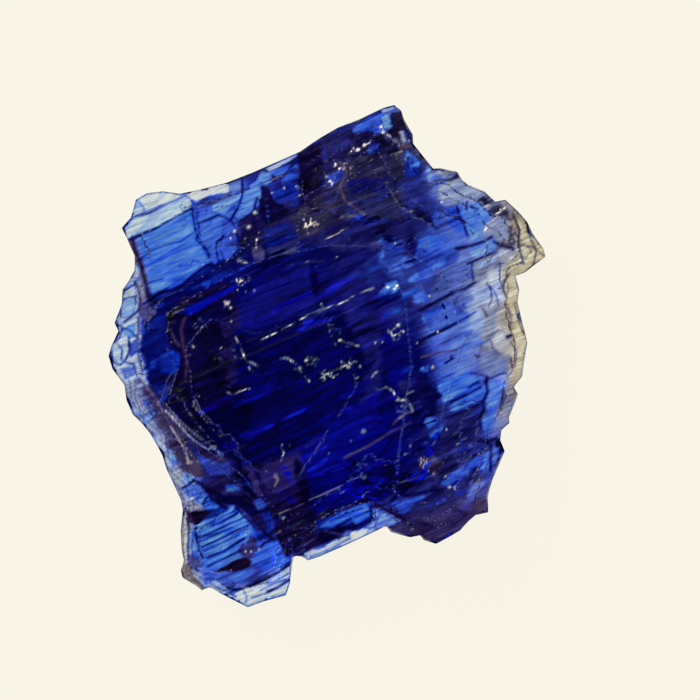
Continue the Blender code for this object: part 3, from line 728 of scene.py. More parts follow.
LOWER_FACETS = [
    # steps round the plateau
    (0.62, 0, 0, [(153, 303), (170, 304), (162, 308), (154, 311)]),
    (0.55, 0.3, 0.35, [(139, 304), (150, 303), (160, 314), (150, 322), (140, 318)]),
    (0.60, 0, 0, [(152, 360), (171, 350), (186, 353), (185, 365), (180, 374), (168, 372),
                  (152, 368)]),
    (0.80, 0.15, 0, [(152, 375), (178, 375), (176, 381), (154, 382)]),
    (0.60, 0.02, 0, [(156, 386), (176, 383), (172, 395), (165, 402), (158, 396)]),
    (0.62, 0, 0, [(183, 314), (190, 308), (215, 297), (243, 284), (236, 292), (215, 305),
                  (195, 317)]),
    (0.64, 0.02, 0, [(183, 292), (205, 281), (240, 268), (262, 258), (255, 268), (225, 283),
                     (200, 290)]),
    (0.55, 0, 0, [(203, 283), (214, 282), (213, 288), (204, 288)]),
    (0.85, 0.2, 0.4, [(180, 302), (200, 296), (228, 284), (232, 287), (205, 300), (184, 308)]),
    (0.46, 0, 0, [(378, 295), (385, 285), (395, 281), (398, 290), (390, 298), (380, 300)]),
    # lower left band
    (0.20, 0.2, 0, [(127, 396), (131, 402), (140, 411), (141, 418), (134, 410), (128, 403)]),
    (0.38, 0.1, 0, [(144, 400), (150, 405), (157, 414), (154, 415), (147, 408)]),
    (0.33, 0.15, 0, [(143, 415), (149, 413), (153, 415), (151, 420), (147, 424), (143, 420)]),
    (0.12, 0.3, 0, [(152, 432), (157, 437), (168, 450), (163, 450), (155, 441)]),
    (0.25, 0.05, 0, [(170, 450), (175, 457), (177, 464), (173, 461), (169, 455)]),
    (0.18, 0.6, 0, [(162, 453), (168, 458), (176, 468), (172, 468), (164, 458)]),
    (0.34, 0.8, 0.1, [(171, 466), (180, 470), (184, 478), (180, 487), (175, 480)]),
    (0.60, 0.2, 0, [(187, 441), (193, 443), (200, 450), (212, 458), (225, 462), (232, 459),
                    (232, 472), (212, 474), (204, 464), (195, 452)]),
    (0.80, 0.2, 0.5, [(190, 441), (206, 447), (226, 456), (222, 460), (206, 455)]),
    (0.70, 0.4, 0.6, [(188, 455), (200, 460), (205, 472), (198, 477), (189, 472)]),
    # pieces down the lower left
    (0.32, 0.05, 0, [(183, 478), (186, 473), (191, 474), (195, 478), (191, 481), (184, 486)]),
    (0.48, 0.25, 0, [(183, 490), (190, 485), (198, 482), (204, 487), (210, 494), (200, 495),
                     (190, 498)]),
    (0.37, 0.05, 0, [(194, 495), (205, 491), (209, 494), (203, 500), (201, 505), (195, 500)]),
    (0.37, 0, 0, [(203, 503), (210, 494), (218, 500), (226, 505), (218, 509), (206, 509)]),
    (0.40, 0.6, 0.4, [(185, 499), (194, 500), (206, 511), (196, 513), (187, 508)]),
    (0.95, 0.2, 0.4, [(187, 513), (205, 510), (216, 511), (206, 518), (196, 525), (189, 522)]),
    (0.80, 0.1, 0.7, [(186, 515), (192, 515), (193, 522), (187, 522)]),
    (0.94, 0.1, 0, [(208, 486), (222, 492), (240, 494), (254, 503), (262, 511), (250, 513),
                    (238, 503), (222, 501)]),
    (0.55, 0.1, 0, [(254, 498), (262, 497), (268, 502), (266, 507), (259, 509)]),
    (0.62, 0.05, 0, [(262, 512), (270, 508), (274, 516), (276, 528), (268, 528)]),
    (0.46, 0, 0, [(225, 484), (228, 482), (236, 483), (243, 488), (238, 489), (229, 490)]),
    (0.60, 0, 0, [(243, 481), (249, 477), (253, 478), (250, 483)]),
    # lower left lobe
    (0.33, 0, 0, [(195, 527), (222, 512), (236, 504), (234, 510), (240, 510), (251, 521),
                  (254, 526), (246, 537), (225, 549), (205, 557), (199, 545)]),
    (0.34, 0.05, 0, [(190, 530), (195, 529), (199, 545), (202, 556), (194, 552), (190, 545)]),
    (0.55, 0.4, 0.15, [(190, 555), (200, 558), (205, 565), (198, 571), (190, 568)]),
    (0.38, 0.05, 0, [(197, 568), (212, 559), (232, 551), (243, 547), (244, 552), (234, 560),
                     (213, 571)]),
    (0.45, 0.05, 0, [(255, 552), (257, 545), (270, 537), (278, 538), (284, 548), (285, 554),
                     (291, 560), (280, 566), (262, 568), (254, 560)]),
    (0.44, 0.1, 0, [(234, 570), (246, 567), (250, 575), (240, 582), (230, 578)]),
    (0.50, 0.2, 0, [(212, 572), (224, 570), (224, 580), (214, 580)]),
    (0.97, 0.2, 0.6, [(216, 570), (228, 564), (238, 557), (246, 555), (252, 560), (248, 566),
                      (230, 570)]),
    (0.66, 0.3, 0.2, [(238, 549), (243, 541), (247, 543), (251, 533), (256, 538), (258, 548), (251, 556),
                      (243, 555)]),
    (0.22, 0.35, 0, [(205, 580), (216, 580), (229, 588), (236, 598), (224, 593), (212, 588)]),
    (0.07, 0.2, 0, [(236, 592), (250, 586), (270, 577), (290, 567), (291, 583), (287, 592),
                    (262, 602), (248, 606)]),
    (0.52, 0.95, 0.55, [(176, 562), (188, 560), (194, 574), (208, 592), (192, 594), (176, 582)]),
    # foot
    (0.38, 0, 0, [(319, 527), (335, 515), (345, 510), (365, 502), (370, 506), (371, 517),
                  (356, 524), (352, 520), (333, 527)]),
    (0.28, 0.25, 0, [(380, 512), (390, 513), (402, 519), (386, 528), (374, 528), (378, 518)]),
    (0.05, 0.15, 0, [(304, 553), (320, 548), (340, 537), (360, 529), (372, 527), (360, 537),
                     (322, 554), (309, 559)]),
]
for depth, haze, stain, outline in UPPER_FACETS + LOWER_FACETS:
    facet(depth, haze, stain, outline, *CRISP_EDGE)
for depth, haze, stain, outline in RIGHT_FACETS:
    facet(depth, haze, stain, outline, *WORN_EDGE)
RUSTY_RIM = [(500, 270), (512, 212), (540, 224), (560, 260), (545, 300), (540, 390), (512, 398), (502, 340)]
rusty = ramp(edge_distance(plan, place(RUSTY_RIM)), -0.3, 0.3) * ramp(1.3 - gap, 0, 0.9)
warm = warm + RUST * rusty * (1 - warm)
facet_ink = ink.copy()
print("facets:", len(UPPER_FACETS + RIGHT_FACETS + LOWER_FACETS))

# %% [markdown]
# ## Streaks and cracks
# Inside the thick part, long lenses along the grain let more blue through, or less. Cracks are
# thin dark lines, and along some of them a brown film has crept in.

# %% Streaks along the grain: depth, half width, ends
STREAKS = [
    (0.70, 5, (200, 411), (258, 391)), (0.69, 4, (240, 402), (285, 382)),
    (0.65, 3, (238, 405), (252, 396)), (0.70, 3.5, (221, 448), (278, 421)),
    (0.67, 2.5, (280, 420), (310, 404)), (0.66, 2, (267, 427), (276, 423)),
    (0.71, 5, (302, 455), (328, 443)), (0.66, 2.5, (308, 469), (328, 456)),
    (0.65, 6, (315, 507), (352, 485)), (0.70, 6, (312, 482), (352, 460)),
    (0.71, 5, (284, 463), (293, 472)), (0.71, 3, (287, 475), (297, 479)),
    (0.71, 4, (281, 489), (298, 499)), (0.71, 4, (345, 482), (402, 455)),
    (0.72, 5, (328, 501), (392, 477)), (0.68, 2, (338, 458), (353, 451)),
    (0.60, 2.5, (304, 325), (315, 321)), (0.68, 4, (318, 301), (346, 281)),
    (0.66, 2.5, (325, 292), (343, 283)), (0.67, 4, (340, 284), (393, 264)),
    (0.70, 2.5, (299, 331), (333, 319)), (0.72, 3, (239, 333), (277, 315)),
    (0.70, 3, (264, 389), (288, 380)), (0.71, 4, (272, 314), (314, 293)),
    (0.72, 2, (248, 326), (262, 319)), (0.70, 4, (383, 377), (413, 365)),
    (0.72, 3, (267, 446), (281, 440)), (0.74, 4, (340, 395), (372, 380)),
    (0.75, 3, (318, 420), (352, 405)), (0.62, 3, (394, 300), (418, 290)),
    (0.62, 3, (372, 300), (392, 291)), (0.60, 2, (380, 318), (402, 309)),
    (0.96, 3, (343, 343), (398, 321)), (0.96, 2.5, (320, 287), (367, 262)),
    (0.97, 4, (313, 267), (318, 301)), (0.98, 5, (298, 455), (308, 502)),
    (0.98, 4, (306, 495), (315, 524)), (0.97, 6, (215, 425), (300, 395)),
    (0.97, 5, (250, 455), (300, 430)), (0.97, 4, (356, 312), (400, 296)),
    (0.97, 5, (360, 372), (376, 354)), (0.95, 2, (390, 500), (424, 468)),
    (0.94, 1.6, (402, 494), (446, 486)), (0.94, 1.8, (446, 486), (478, 466)),
    (0.62, 2, (425, 506), (447, 495)), (0.60, 2, (428, 498), (446, 489)),
    (0.62, 2, (455, 494), (466, 488)), (0.66, 3, (408, 480), (432, 470)),
    (0.66, 3, (404, 462), (420, 455)), (0.60, 2, (158, 322), (171, 314)),
    (0.66, 2.5, (144, 346), (168, 334)), (0.66, 2, (146, 362), (166, 352)),
]
for depth, half_width, start, end in STREAKS:
    streak(depth, half_width, start, end)
print("streaks:", len(STREAKS))

# %% Cracks and seams: depth, haze, stain, half width, points
CRACKS = [
    # round the blue plate
    (0.92, 0.3, 0, 1.5, [(133, 239), (145, 233), (156, 229)]),
    (0.80, 0.2, 0, 0.8, [(156, 229), (172, 220), (180, 215), (193, 210)]),
    (0.85, 0.2, 0.4, 2.4, [(133, 240), (136, 252), (142, 266), (147, 285), (150, 300)]),
    (0.90, 0, 0, 1.2, [(150, 302), (155, 297), (163, 292), (175, 290), (183, 286), (190, 279),
                       (198, 273), (205, 268), (213, 264)]),
    (0.85, 0, 0, 0.8, [(193, 210), (195, 220), (197, 232), (199, 242), (206, 248), (209, 253),
                       (210, 258)]),
    (0.80, 0, 0, 0.7, [(199, 225), (210, 221), (219, 217), (225, 218), (232, 222), (236, 228),
                       (238, 236), (240, 244)]),
    (0.80, 0, 0, 0.8, [(225, 237), (219, 243), (217, 248), (218, 256), (220, 264), (222, 268)]),
    (0.62, 0, 0, 0.6, [(141, 258), (155, 250), (170, 245), (182, 242), (190, 236), (196, 233)]),
    (0.60, 0, 0, 0.7, [(180, 267), (192, 265), (194, 261), (200, 262)]),
    (0.62, 0, 0, 0.7, [(148, 284), (158, 281), (164, 279)]),
    (0.65, 0, 0, 0.7, [(196, 240), (203, 246), (209, 258)]),
    (0.60, 0.6, 0, 0.9, [(136, 216), (150, 213), (168, 204), (184, 197)]),
    # left edge
    (0.75, 0.5, 0.4, 1.2, [(136, 282), (140, 292), (142, 303), (138, 312), (125, 322)]),
    (0.62, 0.5, 0.4, 1.1, [(139, 318), (139, 330), (138, 345), (140, 360), (143, 372)]),
    (0.50, 0.4, 0.6, 1.0, [(142, 380), (150, 390), (158, 400), (166, 411)]),
    (0.95, 0.1, 0.2, 1.6, [(172, 313), (171, 325), (172, 338), (178, 345), (186, 352),
                           (187, 358), (185, 366), (181, 378), (175, 387), (171, 402)]),
    (0.75, 0.3, 0.9, 1.4, [(190, 318), (186, 330), (188, 345), (192, 362), (190, 380)]),
    (0.70, 0.3, 0.9, 1.0, [(176, 330), (180, 340), (184, 346)]),
    (0.72, 0.4, 0, 1.0, [(126, 362), (134, 364), (137, 372)]),
    (0.70, 0.4, 0.1, 0.9, [(136, 284), (125, 291), (122, 300), (121, 316)]),
    (0.75, 0.4, 0.1, 0.9, [(123, 300), (130, 297), (137, 297)]),
    (0.70, 0.4, 0.1, 0.9, [(117, 322), (123, 328), (121, 336), (116, 343)]),
    (0.75, 0.3, 0, 0.8, [(123, 328), (130, 330), (137, 337)]),
    (0.66, 0.4, 0.1, 0.9, [(112, 352), (114, 362), (121, 365), (127, 359), (131, 348), (129, 337)]),
    (0.60, 0.4, 0, 0.7, [(119, 344), (123, 350), (122, 360)]),
    # top and top lobe
    (0.85, 0.1, 0, 1.0, [(242, 178), (243, 195), (239, 210), (233, 220)]),
    (0.92, 0.1, 0.3, 2.2, [(263, 188), (268, 196), (272, 205), (280, 215)]),
    (0.88, 0.1, 0.1, 1.2, [(258, 200), (254, 215), (256, 230), (258, 245)]),
    (0.92, 0.1, 0.3, 2.0, [(300, 155), (302, 180), (306, 204), (318, 214)]),
    (0.60, 0.6, 0.8, 0.9, [(340, 165), (347, 175), (340, 190), (345, 205), (365, 218)]),
    (0.88, 0.2, 0, 1.0, [(352, 133), (362, 150), (366, 158)]),
    (0.88, 0.2, 0, 1.0, [(368, 142), (386, 136), (396, 146)]),
    (0.60, 0.8, 0.1, 2.2, [(411, 146), (420, 156), (427, 163), (433, 170)]),
    (0.92, 0.3, 0, 1.0, [(403, 120), (409, 138), (414, 148)]),
    # upper right
    (0.88, 0.1, 0, 0.9, [(456, 208), (458, 216), (462, 226), (466, 238)]),
    (0.85, 0.1, 0, 0.6, [(428, 220), (432, 228), (436, 230)]),
    (0.92, 0.3, 0, 1.4, [(455, 250), (470, 247), (482, 243), (490, 238)]),
    (0.88, 0.3, 0, 1.0, [(466, 265), (480, 259), (495, 253)]),
    (0.85, 0.5, 0, 1.3, [(492, 243), (502, 247), (512, 250)]),
    (0.80, 0.5, 0, 0.8, [(466, 203), (465, 212)]),
    (0.80, 0.5, 0, 0.8, [(470, 207), (477, 210)]),
    (0.70, 0.9, 0.1, 1.0, [(434, 182), (440, 180), (450, 181), (458, 178)]),
    (0.80, 0.9, 0.3, 1.0, [(512, 214), (519, 230), (517, 246), (523, 264)]),
    (0.60, 0.8, 0.6, 0.8, [(529, 238), (536, 250), (533, 264)]),
    (0.60, 0.8, 0.6, 0.8, [(520, 246), (531, 247), (545, 257)]),
    # right field
    (0.92, 0.05, 0, 1.4, [(419, 311), (430, 305), (445, 297), (452, 293)]),
    (0.70, 0.1, 0, 0.8, [(452, 293), (466, 288), (474, 283)]),
    (0.90, 0.05, 0, 1.4, [(415, 345), (425, 338), (437, 332), (450, 326), (458, 322)]),
    (0.62, 0.1, 0, 0.8, [(458, 322), (475, 312)]),
    (0.75, 0.4, 0, 0.8, [(470, 265), (471, 272), (472, 280)]),
    (0.55, 0.6, 0, 0.7, [(486, 284), (490, 292), (491, 300), (488, 306)]),
    (0.50, 0.6, 0, 0.6, [(489, 286), (495, 295), (498, 306)]),
    (0.55, 0.7, 0.7, 0.8, [(505, 304), (511, 316), (509, 330)]),
    (0.55, 0.7, 0.8, 0.7, [(514, 303), (517, 318), (523, 334)]),
    (0.60, 0.7, 0.7, 0.8, [(510, 342), (516, 352), (514, 366)]),
    (0.50, 0.8, 0.4, 0.6, [(480, 338), (490, 335), (498, 330)]),
    (0.55, 0.8, 0.1, 0.7, [(490, 341), (492, 348), (499, 355)]),
    (0.70, 0.4, 0.8, 0.9, [(482, 309), (486, 316)]),
    (0.70, 0.4, 0.7, 0.9, [(508, 275), (503, 282), (502, 290), (505, 296), (507, 298)]),
    (0.98, 0.6, 0, 1.5, [(506.5, 337), (510.5, 335)]),
    (0.70, 0.5, 0.3, 0.8, [(474, 355), (476, 357), (479, 356)]),
    (0.62, 0.3, 0, 0.8, [(470, 373), (481, 375), (490, 378), (498, 374), (505, 373)]),
    (0.70, 0.3, 0.8, 1.0, [(510, 358), (511, 367)]),
    (0.62, 0.3, 0.6, 0.5, [(420, 357), (440, 352), (455, 350)]),
    (0.70, 0.1, 0, 0.6, [(440, 377), (452, 373)]),
    (0.72, 0.1, 0, 0.7, [(468, 387), (478, 381)]),
    (0.84, 0.2, 0, 1.5, [(486, 377), (485, 384), (487, 391), (483, 400), (482, 409), (479, 417),
                         (480, 427)]),
    (0.88, 0.1, 0, 1.1, [(450, 402), (465, 395), (480, 387)]),
    (0.90, 0.1, 0, 1.2, [(445, 417), (460, 411), (475, 405), (480, 402)]),
    (0.85, 0.5, 0, 1.1, [(503, 390), (501, 400), (500, 409)]),
    (0.90, 0.1, 0, 1.1, [(491, 445), (490, 456), (490, 470)]),
    (0.85, 0.3, 0, 1.6, [(478, 441), (488, 441), (496, 438)]),
    # foot of the plateau, lobes
    (0.90, 0.1, 0.5, 2.0, [(316, 517), (330, 513), (345, 507), (357, 501), (368, 498)]),
    (0.92, 0.2, 0.5, 2.2, [(370, 500), (380, 505), (392, 512), (404, 519)]),
    (0.94, 0.2, 0.1, 1.6, [(229, 588), (238, 589), (250, 585), (265, 578), (280, 570),
                           (291, 563)]),
    (0.94, 0.2, 0, 1.6, [(195, 479), (203, 483), (209, 490), (213, 497), (220, 502), (227, 506)]),
    (0.92, 0.1, 0, 1.1, [(183, 488), (194, 481), (197, 480)]),
    (0.92, 0.1, 0, 1.0, [(203, 505), (208, 496)]),
    (0.90, 0.1, 0, 0.9, [(236, 504), (243, 512), (249, 518), (256, 526)]),
    (0.92, 0.1, 0, 1.4, [(255, 520), (262, 526), (268, 533), (275, 538)]),
    (0.92, 0.1, 0, 1.1, [(272, 538), (265, 541), (261, 546)]),
    (0.92, 0.1, 0, 1.3, [(252, 513), (262, 510), (269, 507)]),
    (0.96, 0.1, 0.1, 1.6, [(277, 510), (278, 530), (283, 545), (287, 555)]),
    (0.88, 0.1, 0, 1.0, [(196, 529), (199, 544), (203, 556)]),
    (0.78, 0, 0, 1.0, [(213, 524), (224, 519), (238, 512)]),
    (0.74, 0, 0, 0.7, [(200, 536), (212, 531), (228, 523), (246, 515)]),
    (0.66, 0, 0, 0.6, [(201, 540), (216, 533), (234, 525)]),
    (0.80, 0, 0, 0.9, [(203, 545), (215, 540), (230, 532), (250, 523)]),
    (0.72, 0, 0, 0.7, [(205, 549), (225, 540), (240, 533)]),
    (0.85, 0, 0, 1.2, [(208, 556), (225, 549), (245, 537)]),
    (0.80, 0, 0, 0.9, [(208, 565), (225, 557), (243, 548)]),
    (0.66, 0, 0, 0.5, [(206, 524), (220, 517), (232, 511)]),
    (0.56, 0.5, 0.4, 0.7, [(252, 597), (262, 594), (270, 592), (278, 587)]),
    (0.85, 0.4, 0.3, 1.2, [(268, 591), (278, 587), (290, 579)]),
    (0.55, 0.4, 0, 0.6, [(260, 590), (275, 583), (290, 577)]),
    (0.55, 0.4, 0, 0.6, [(268, 584), (278, 579), (290, 572)]),
    (0.40, 0.5, 0, 0.6, [(244, 591), (247, 596), (246, 602)]),
    (0.60, 0.6, 0, 0.8, [(210, 582), (222, 589), (236, 596)]),
    (0.85, 0.6, 0, 0.8, [(338, 539), (343, 536), (349, 535)]),
    (0.45, 0.4, 0, 0.6, [(310, 556), (330, 548), (350, 538)]),
    (0.66, 0, 0, 0.7, [(330, 521), (345, 514), (362, 508)]),
    (0.70, 0, 0, 0.7, [(338, 525), (352, 517), (368, 511)]),
    (0.85, 0.1, 0, 0.9, [(371, 506), (372, 514), (370, 522)]),
    (0.62, 0.3, 0.1, 0.8, [(325, 531), (338, 534), (350, 533)]),
    (0.66, 0.3, 0.3, 0.8, [(297, 549), (310, 541), (318, 536)]),
    # light lines along the layered edge, one behind the other
    (0.22, 0.7, 0.6, 0.7, [(168, 410), (175, 417), (184, 427), (191, 434), (200, 441), (213, 448)]),
    (0.34, 0.7, 0.7, 0.6, [(172, 408), (181, 418), (190, 426), (200, 434), (212, 443), (226, 452)]),
    (0.30, 0.7, 0.6, 0.6, [(172, 426), (180, 438), (187, 450), (190, 462)]),
    (0.10, 0.7, 0.3, 0.8, [(185, 508), (186, 520), (186, 534), (185.5, 550), (186, 562)]),
    (0.78, 0.6, 0.4, 0.7, [(188.5, 510), (189, 524), (189, 540), (188.5, 560)]),
    # faint mauve threads in the plateau
    (0.78, 0.2, 0.2, 0.5, [(345, 455), (370, 442), (390, 430), (412, 420)]),
    (0.76, 0.2, 0.4, 0.7, [(392, 422), (400, 415), (408, 411)]),
    (0.68, 0.5, 0.7, 0.8, [(277, 472), (280, 476), (277, 482)]),
]
for depth, haze, stain, half_width, line in CRACKS:
    draw(depth, haze, stain, half_width, line)
print("cracks and seams:", len(CRACKS))

# %% [markdown]
# ## Layers at the lower left edge, and the outline
# The sheets end one behind the other along the lower left edge, so light and dark lines run
# beside the rim there. The rim itself gets a fine grey line nearly all the way round: painted
# shade for the dark edge of the clear stone.

# %% Lines that follow the rim
SHEET_STEP, SHEET_LINE, SHEET_LIGHT = 0.21, 0.26, 0.06
OUTLINE_WIDTH, OUTLINE_DEPTH, OUTLINE_HAZE = 0.055, 0.72, 0.75
LAYERED = [(112, 372), (140, 374), (176, 420), (196, 470), (200, 505), (192, 520), (193, 560), (206, 592),
           (176, 596), (160, 520), (120, 430)]
layered = ramp(edge_distance(plan, place(LAYERED)), -0.1, 0.15)
sheet = gap / SHEET_STEP + 1.3 * hills(along * 0.7, across * 0.7, 60) + 0.15 * edge_shake
dark_line = np.exp(-((np.sin(math.pi * sheet) / 0.4) ** 2))
layered = layered * ramp(0.9 - gap, 0, 0.4)
ink = ink + layered * (SHEET_LINE * dark_line - SHEET_LIGHT)
# painted shade: a fine dark grey line along the rim
outline = np.exp(-((gap / OUTLINE_WIDTH) ** 2)) * (0.75 + 0.25 * hills(along * 1.5, across * 1.5, 61))
ink = ink + outline * np.clip(OUTLINE_DEPTH - ink, 0, None)
grey = grey + outline * (OUTLINE_HAZE - grey)
print("share of layered edge:", round(float(layered.mean()), 3))

# %% [markdown]
# ## Grain
# Fine lines run along the grain, with dark hairs and a few longer, darker threads among them.
# They are fainter where the layered edge shows.

# %% Fine lines of depth along the grain
FINE_GRAIN, BROAD_GRAIN, MOTTLE = 0.032, 0.040, 0.025
THREADS, HAIRS = 0.09, 0.12
wander = 0.5 * hills(along * 0.35, across * 0.35, 70)
fine = hills(along * 0.7, across * 7.5 + wander, 71) + 0.7 * hills(along * 1.6, across * 15.0 + wander, 72)
broad = hills(along * 0.28, across * 2.6 + wander, 73)
thread = np.exp(-((hills(along * 0.22, across * 2.0 + wander, 74) / 0.05) ** 2))
mottle = hills(along * 2.2, across * 5.0, 75) + 0.8 * hills(along * 7.0, across * 11.0, 76)
hair = np.exp(-((hills(along * 0.5, across * 5.5 + wander, 77) / 0.22) ** 2))
hairy = hair * ramp(hills(along * 0.5, across * 0.9, 78), -0.3, 0.4)
quiet = 1 - 0.8 * layered
ink = ink + quiet * (FINE_GRAIN * np.tanh(2 * fine) + BROAD_GRAIN * broad) + MOTTLE * mottle
ink = ink + quiet * (THREADS * thread + HAIRS * hairy) * ramp(ink, 0.08, 0.4)
ink = np.clip(ink, 0, 1)
print("depth of colour: mean", round(ink.mean(), 2))

# %% [markdown]
# ## Shattered places
# Here and there the stone is cracked into small pieces, each lighter or darker than the next,
# with dark lines between them. The pieces are random hills pressed flat by a hyperbolic
# tangent, and the lines lie where the hills pass through zero.

# %% Small pieces with dark lines between them
PIECE_CONTRAST, PIECE_LINE, PIECE_LINE_WIDTH = 0.085, 0.15, 0.13
SHATTERED = [
    # strength, reach along and across the grain, middle
    (1.0, 34, 24, (370, 148)), (0.8, 20, 12, (284, 182)), (0.8, 40, 22, (446, 470)),
    (0.7, 24, 12, (220, 492)), (0.6, 16, 12, (240, 238)), (0.5, 24, 16, (456, 214)),
    (0.6, 12, 34, (508, 318)), (0.5, 40, 12, (345, 226)), (0.7, 14, 16, (520, 240)),
    (0.6, 10, 22, (196, 322)), (0.6, 26, 14, (176, 440)), (0.5, 30, 14, (300, 372)),
    (0.5, 14, 20, (272, 520)), (0.6, 10, 12, (196, 508)), (0.5, 16, 30, (400, 400)),
]
shattered = np.zeros(len(plan))
for strength, reach_along, reach_across, middle in SHATTERED:
    where, distance = oval_distance(4.0, reach_along, reach_across, middle)
    shattered[where] = np.maximum(shattered[where], strength * np.exp(-(distance ** 4)))
pieces = hills(along * 1.9, across * 3.6, 84) + 0.3 * hills(along * 4.0, across * 7.0, 85)
between = np.exp(-((pieces / PIECE_LINE_WIDTH) ** 2))
ink = ink + shattered * (PIECE_CONTRAST * np.tanh(4 * pieces) + PIECE_LINE * between)
ink = np.clip(ink, 0, 1)
print("share of shattered places:", round(float(shattered.mean()), 3))

# %% [markdown]
# ## Bruises and painted glints
# Where the stone was knocked, the broken surface is full of tiny cracks and scatters light, so
# it looks cream. The same cream marks are also painted highlights, set where small facets would
# glint. They lie in dotted ridges, in single specks, and in patches of tiny scraps:
# these are the places where random hills pass through zero, so they are thin and bent.

# %% Bruised ridges, specks and scraps, which are also painted glints
RIDGE_STRENGTH, SCRAP_STRENGTH = 1.7, 1.3
BRUISE_AND_GLINT_FROM = 0.12, 0.7
# the ridges are partly bruised edges and partly painted highlights along edges that catch the light
RIDGES = [
    # strength, half width, points
    (0.4, 0.9, [(239, 337), (244, 345), (245, 350), (248, 356), (251, 361), (257, 363), (262, 366)]),
    (0.25, 0.6, [(248, 356), (244, 359), (239, 357)]), (0.25, 0.6, [(251, 361), (253, 368), (259, 373)]),
    (0.5, 0.8, [(258, 343), (275, 335), (285, 330), (300, 322), (311, 315), (330, 308), (347, 302)]),
    (0.25, 0.7, [(347, 302), (355, 296), (372, 290)]),
    (0.4, 0.9, [(283, 358), (290, 358), (297, 363), (301, 366), (304, 372), (308, 378), (311, 380)]),
    (0.25, 0.6, [(297, 363), (303, 362), (311, 364), (318, 362)]),
    (0.35, 0.9, [(215, 352), (222, 350), (228, 347), (238, 350)]),
    (0.45, 0.6, [(292, 267), (305, 266), (311, 264), (325, 264), (335, 261), (341, 257)]),
    (0.8, 1.1, [(258, 240), (258, 250)]), (0.5, 1.0, [(240, 262), (250, 265)]),
    (0.45, 0.7, [(339, 340), (345, 342), (352, 344), (358, 346)]),
    (0.25, 0.6, [(322, 305), (326, 315), (330, 328), (333, 340), (337, 345)]),
    (0.25, 0.5, [(330, 328), (338, 329), (345, 332)]),
    (0.5, 1.0, [(387, 331), (392, 336), (395, 335)]),
    (0.4, 0.8, [(373, 387), (380, 389), (385, 386), (392, 390), (397, 398)]),
    (0.6, 1.2, [(395, 399), (405, 399), (409, 404), (411, 410)]),
    (0.35, 0.6, [(196, 391), (202, 393), (207, 397), (211, 397)]),
    (0.35, 0.6, [(228, 389), (236, 393), (243, 390), (249, 388), (257, 387)]),
    (0.3, 0.8, [(168, 410), (175, 417), (184, 427), (191, 434)]),
    (0.2, 0.7, [(191, 434), (200, 441), (212, 447), (222, 453), (229, 457)]),
    (0.3, 0.7, [(198, 428), (206, 437), (218, 446)]),
    (0.25, 0.7, [(180, 438), (192, 452), (200, 461)]),
    (0.6, 1.6, [(383, 135), (390, 139), (397, 143)]), (0.45, 0.8, [(390, 158), (402, 152)]),
    (0.55, 1.6, [(341, 220), (356, 219)]),
    (0.3, 0.8, [(321, 243), (335, 238), (345, 232), (352, 228), (362, 224)]),
    (0.5, 0.8, [(480, 210), (492, 203)]), (0.6, 1.0, [(482, 234), (486, 228)]),
    (0.35, 0.7, [(483, 228), (492, 221), (500, 215)]),
    (0.5, 0.8, [(495, 215), (505, 208)]), (0.3, 0.6, [(510, 222), (511, 246)]),
    (0.45, 0.9, [(418, 455), (426, 461)]), (0.5, 1.0, [(424, 441), (428, 443)]),
    (0.4, 0.9, [(455, 458), (460, 461), (470, 455)]), (0.35, 0.8, [(455, 443), (465, 437)]),
    (0.5, 1.0, [(401, 503), (403, 499)]), (0.45, 1.0, [(443, 475), (448, 471)]),
    (0.3, 0.6, [(283, 443), (286, 450), (283, 458)]),
    (0.5, 0.8, [(341, 361), (350, 367)]), (0.5, 0.8, [(372, 376), (376, 371)]),
    (0.35, 0.5, [(406, 393), (412, 390)]),
]
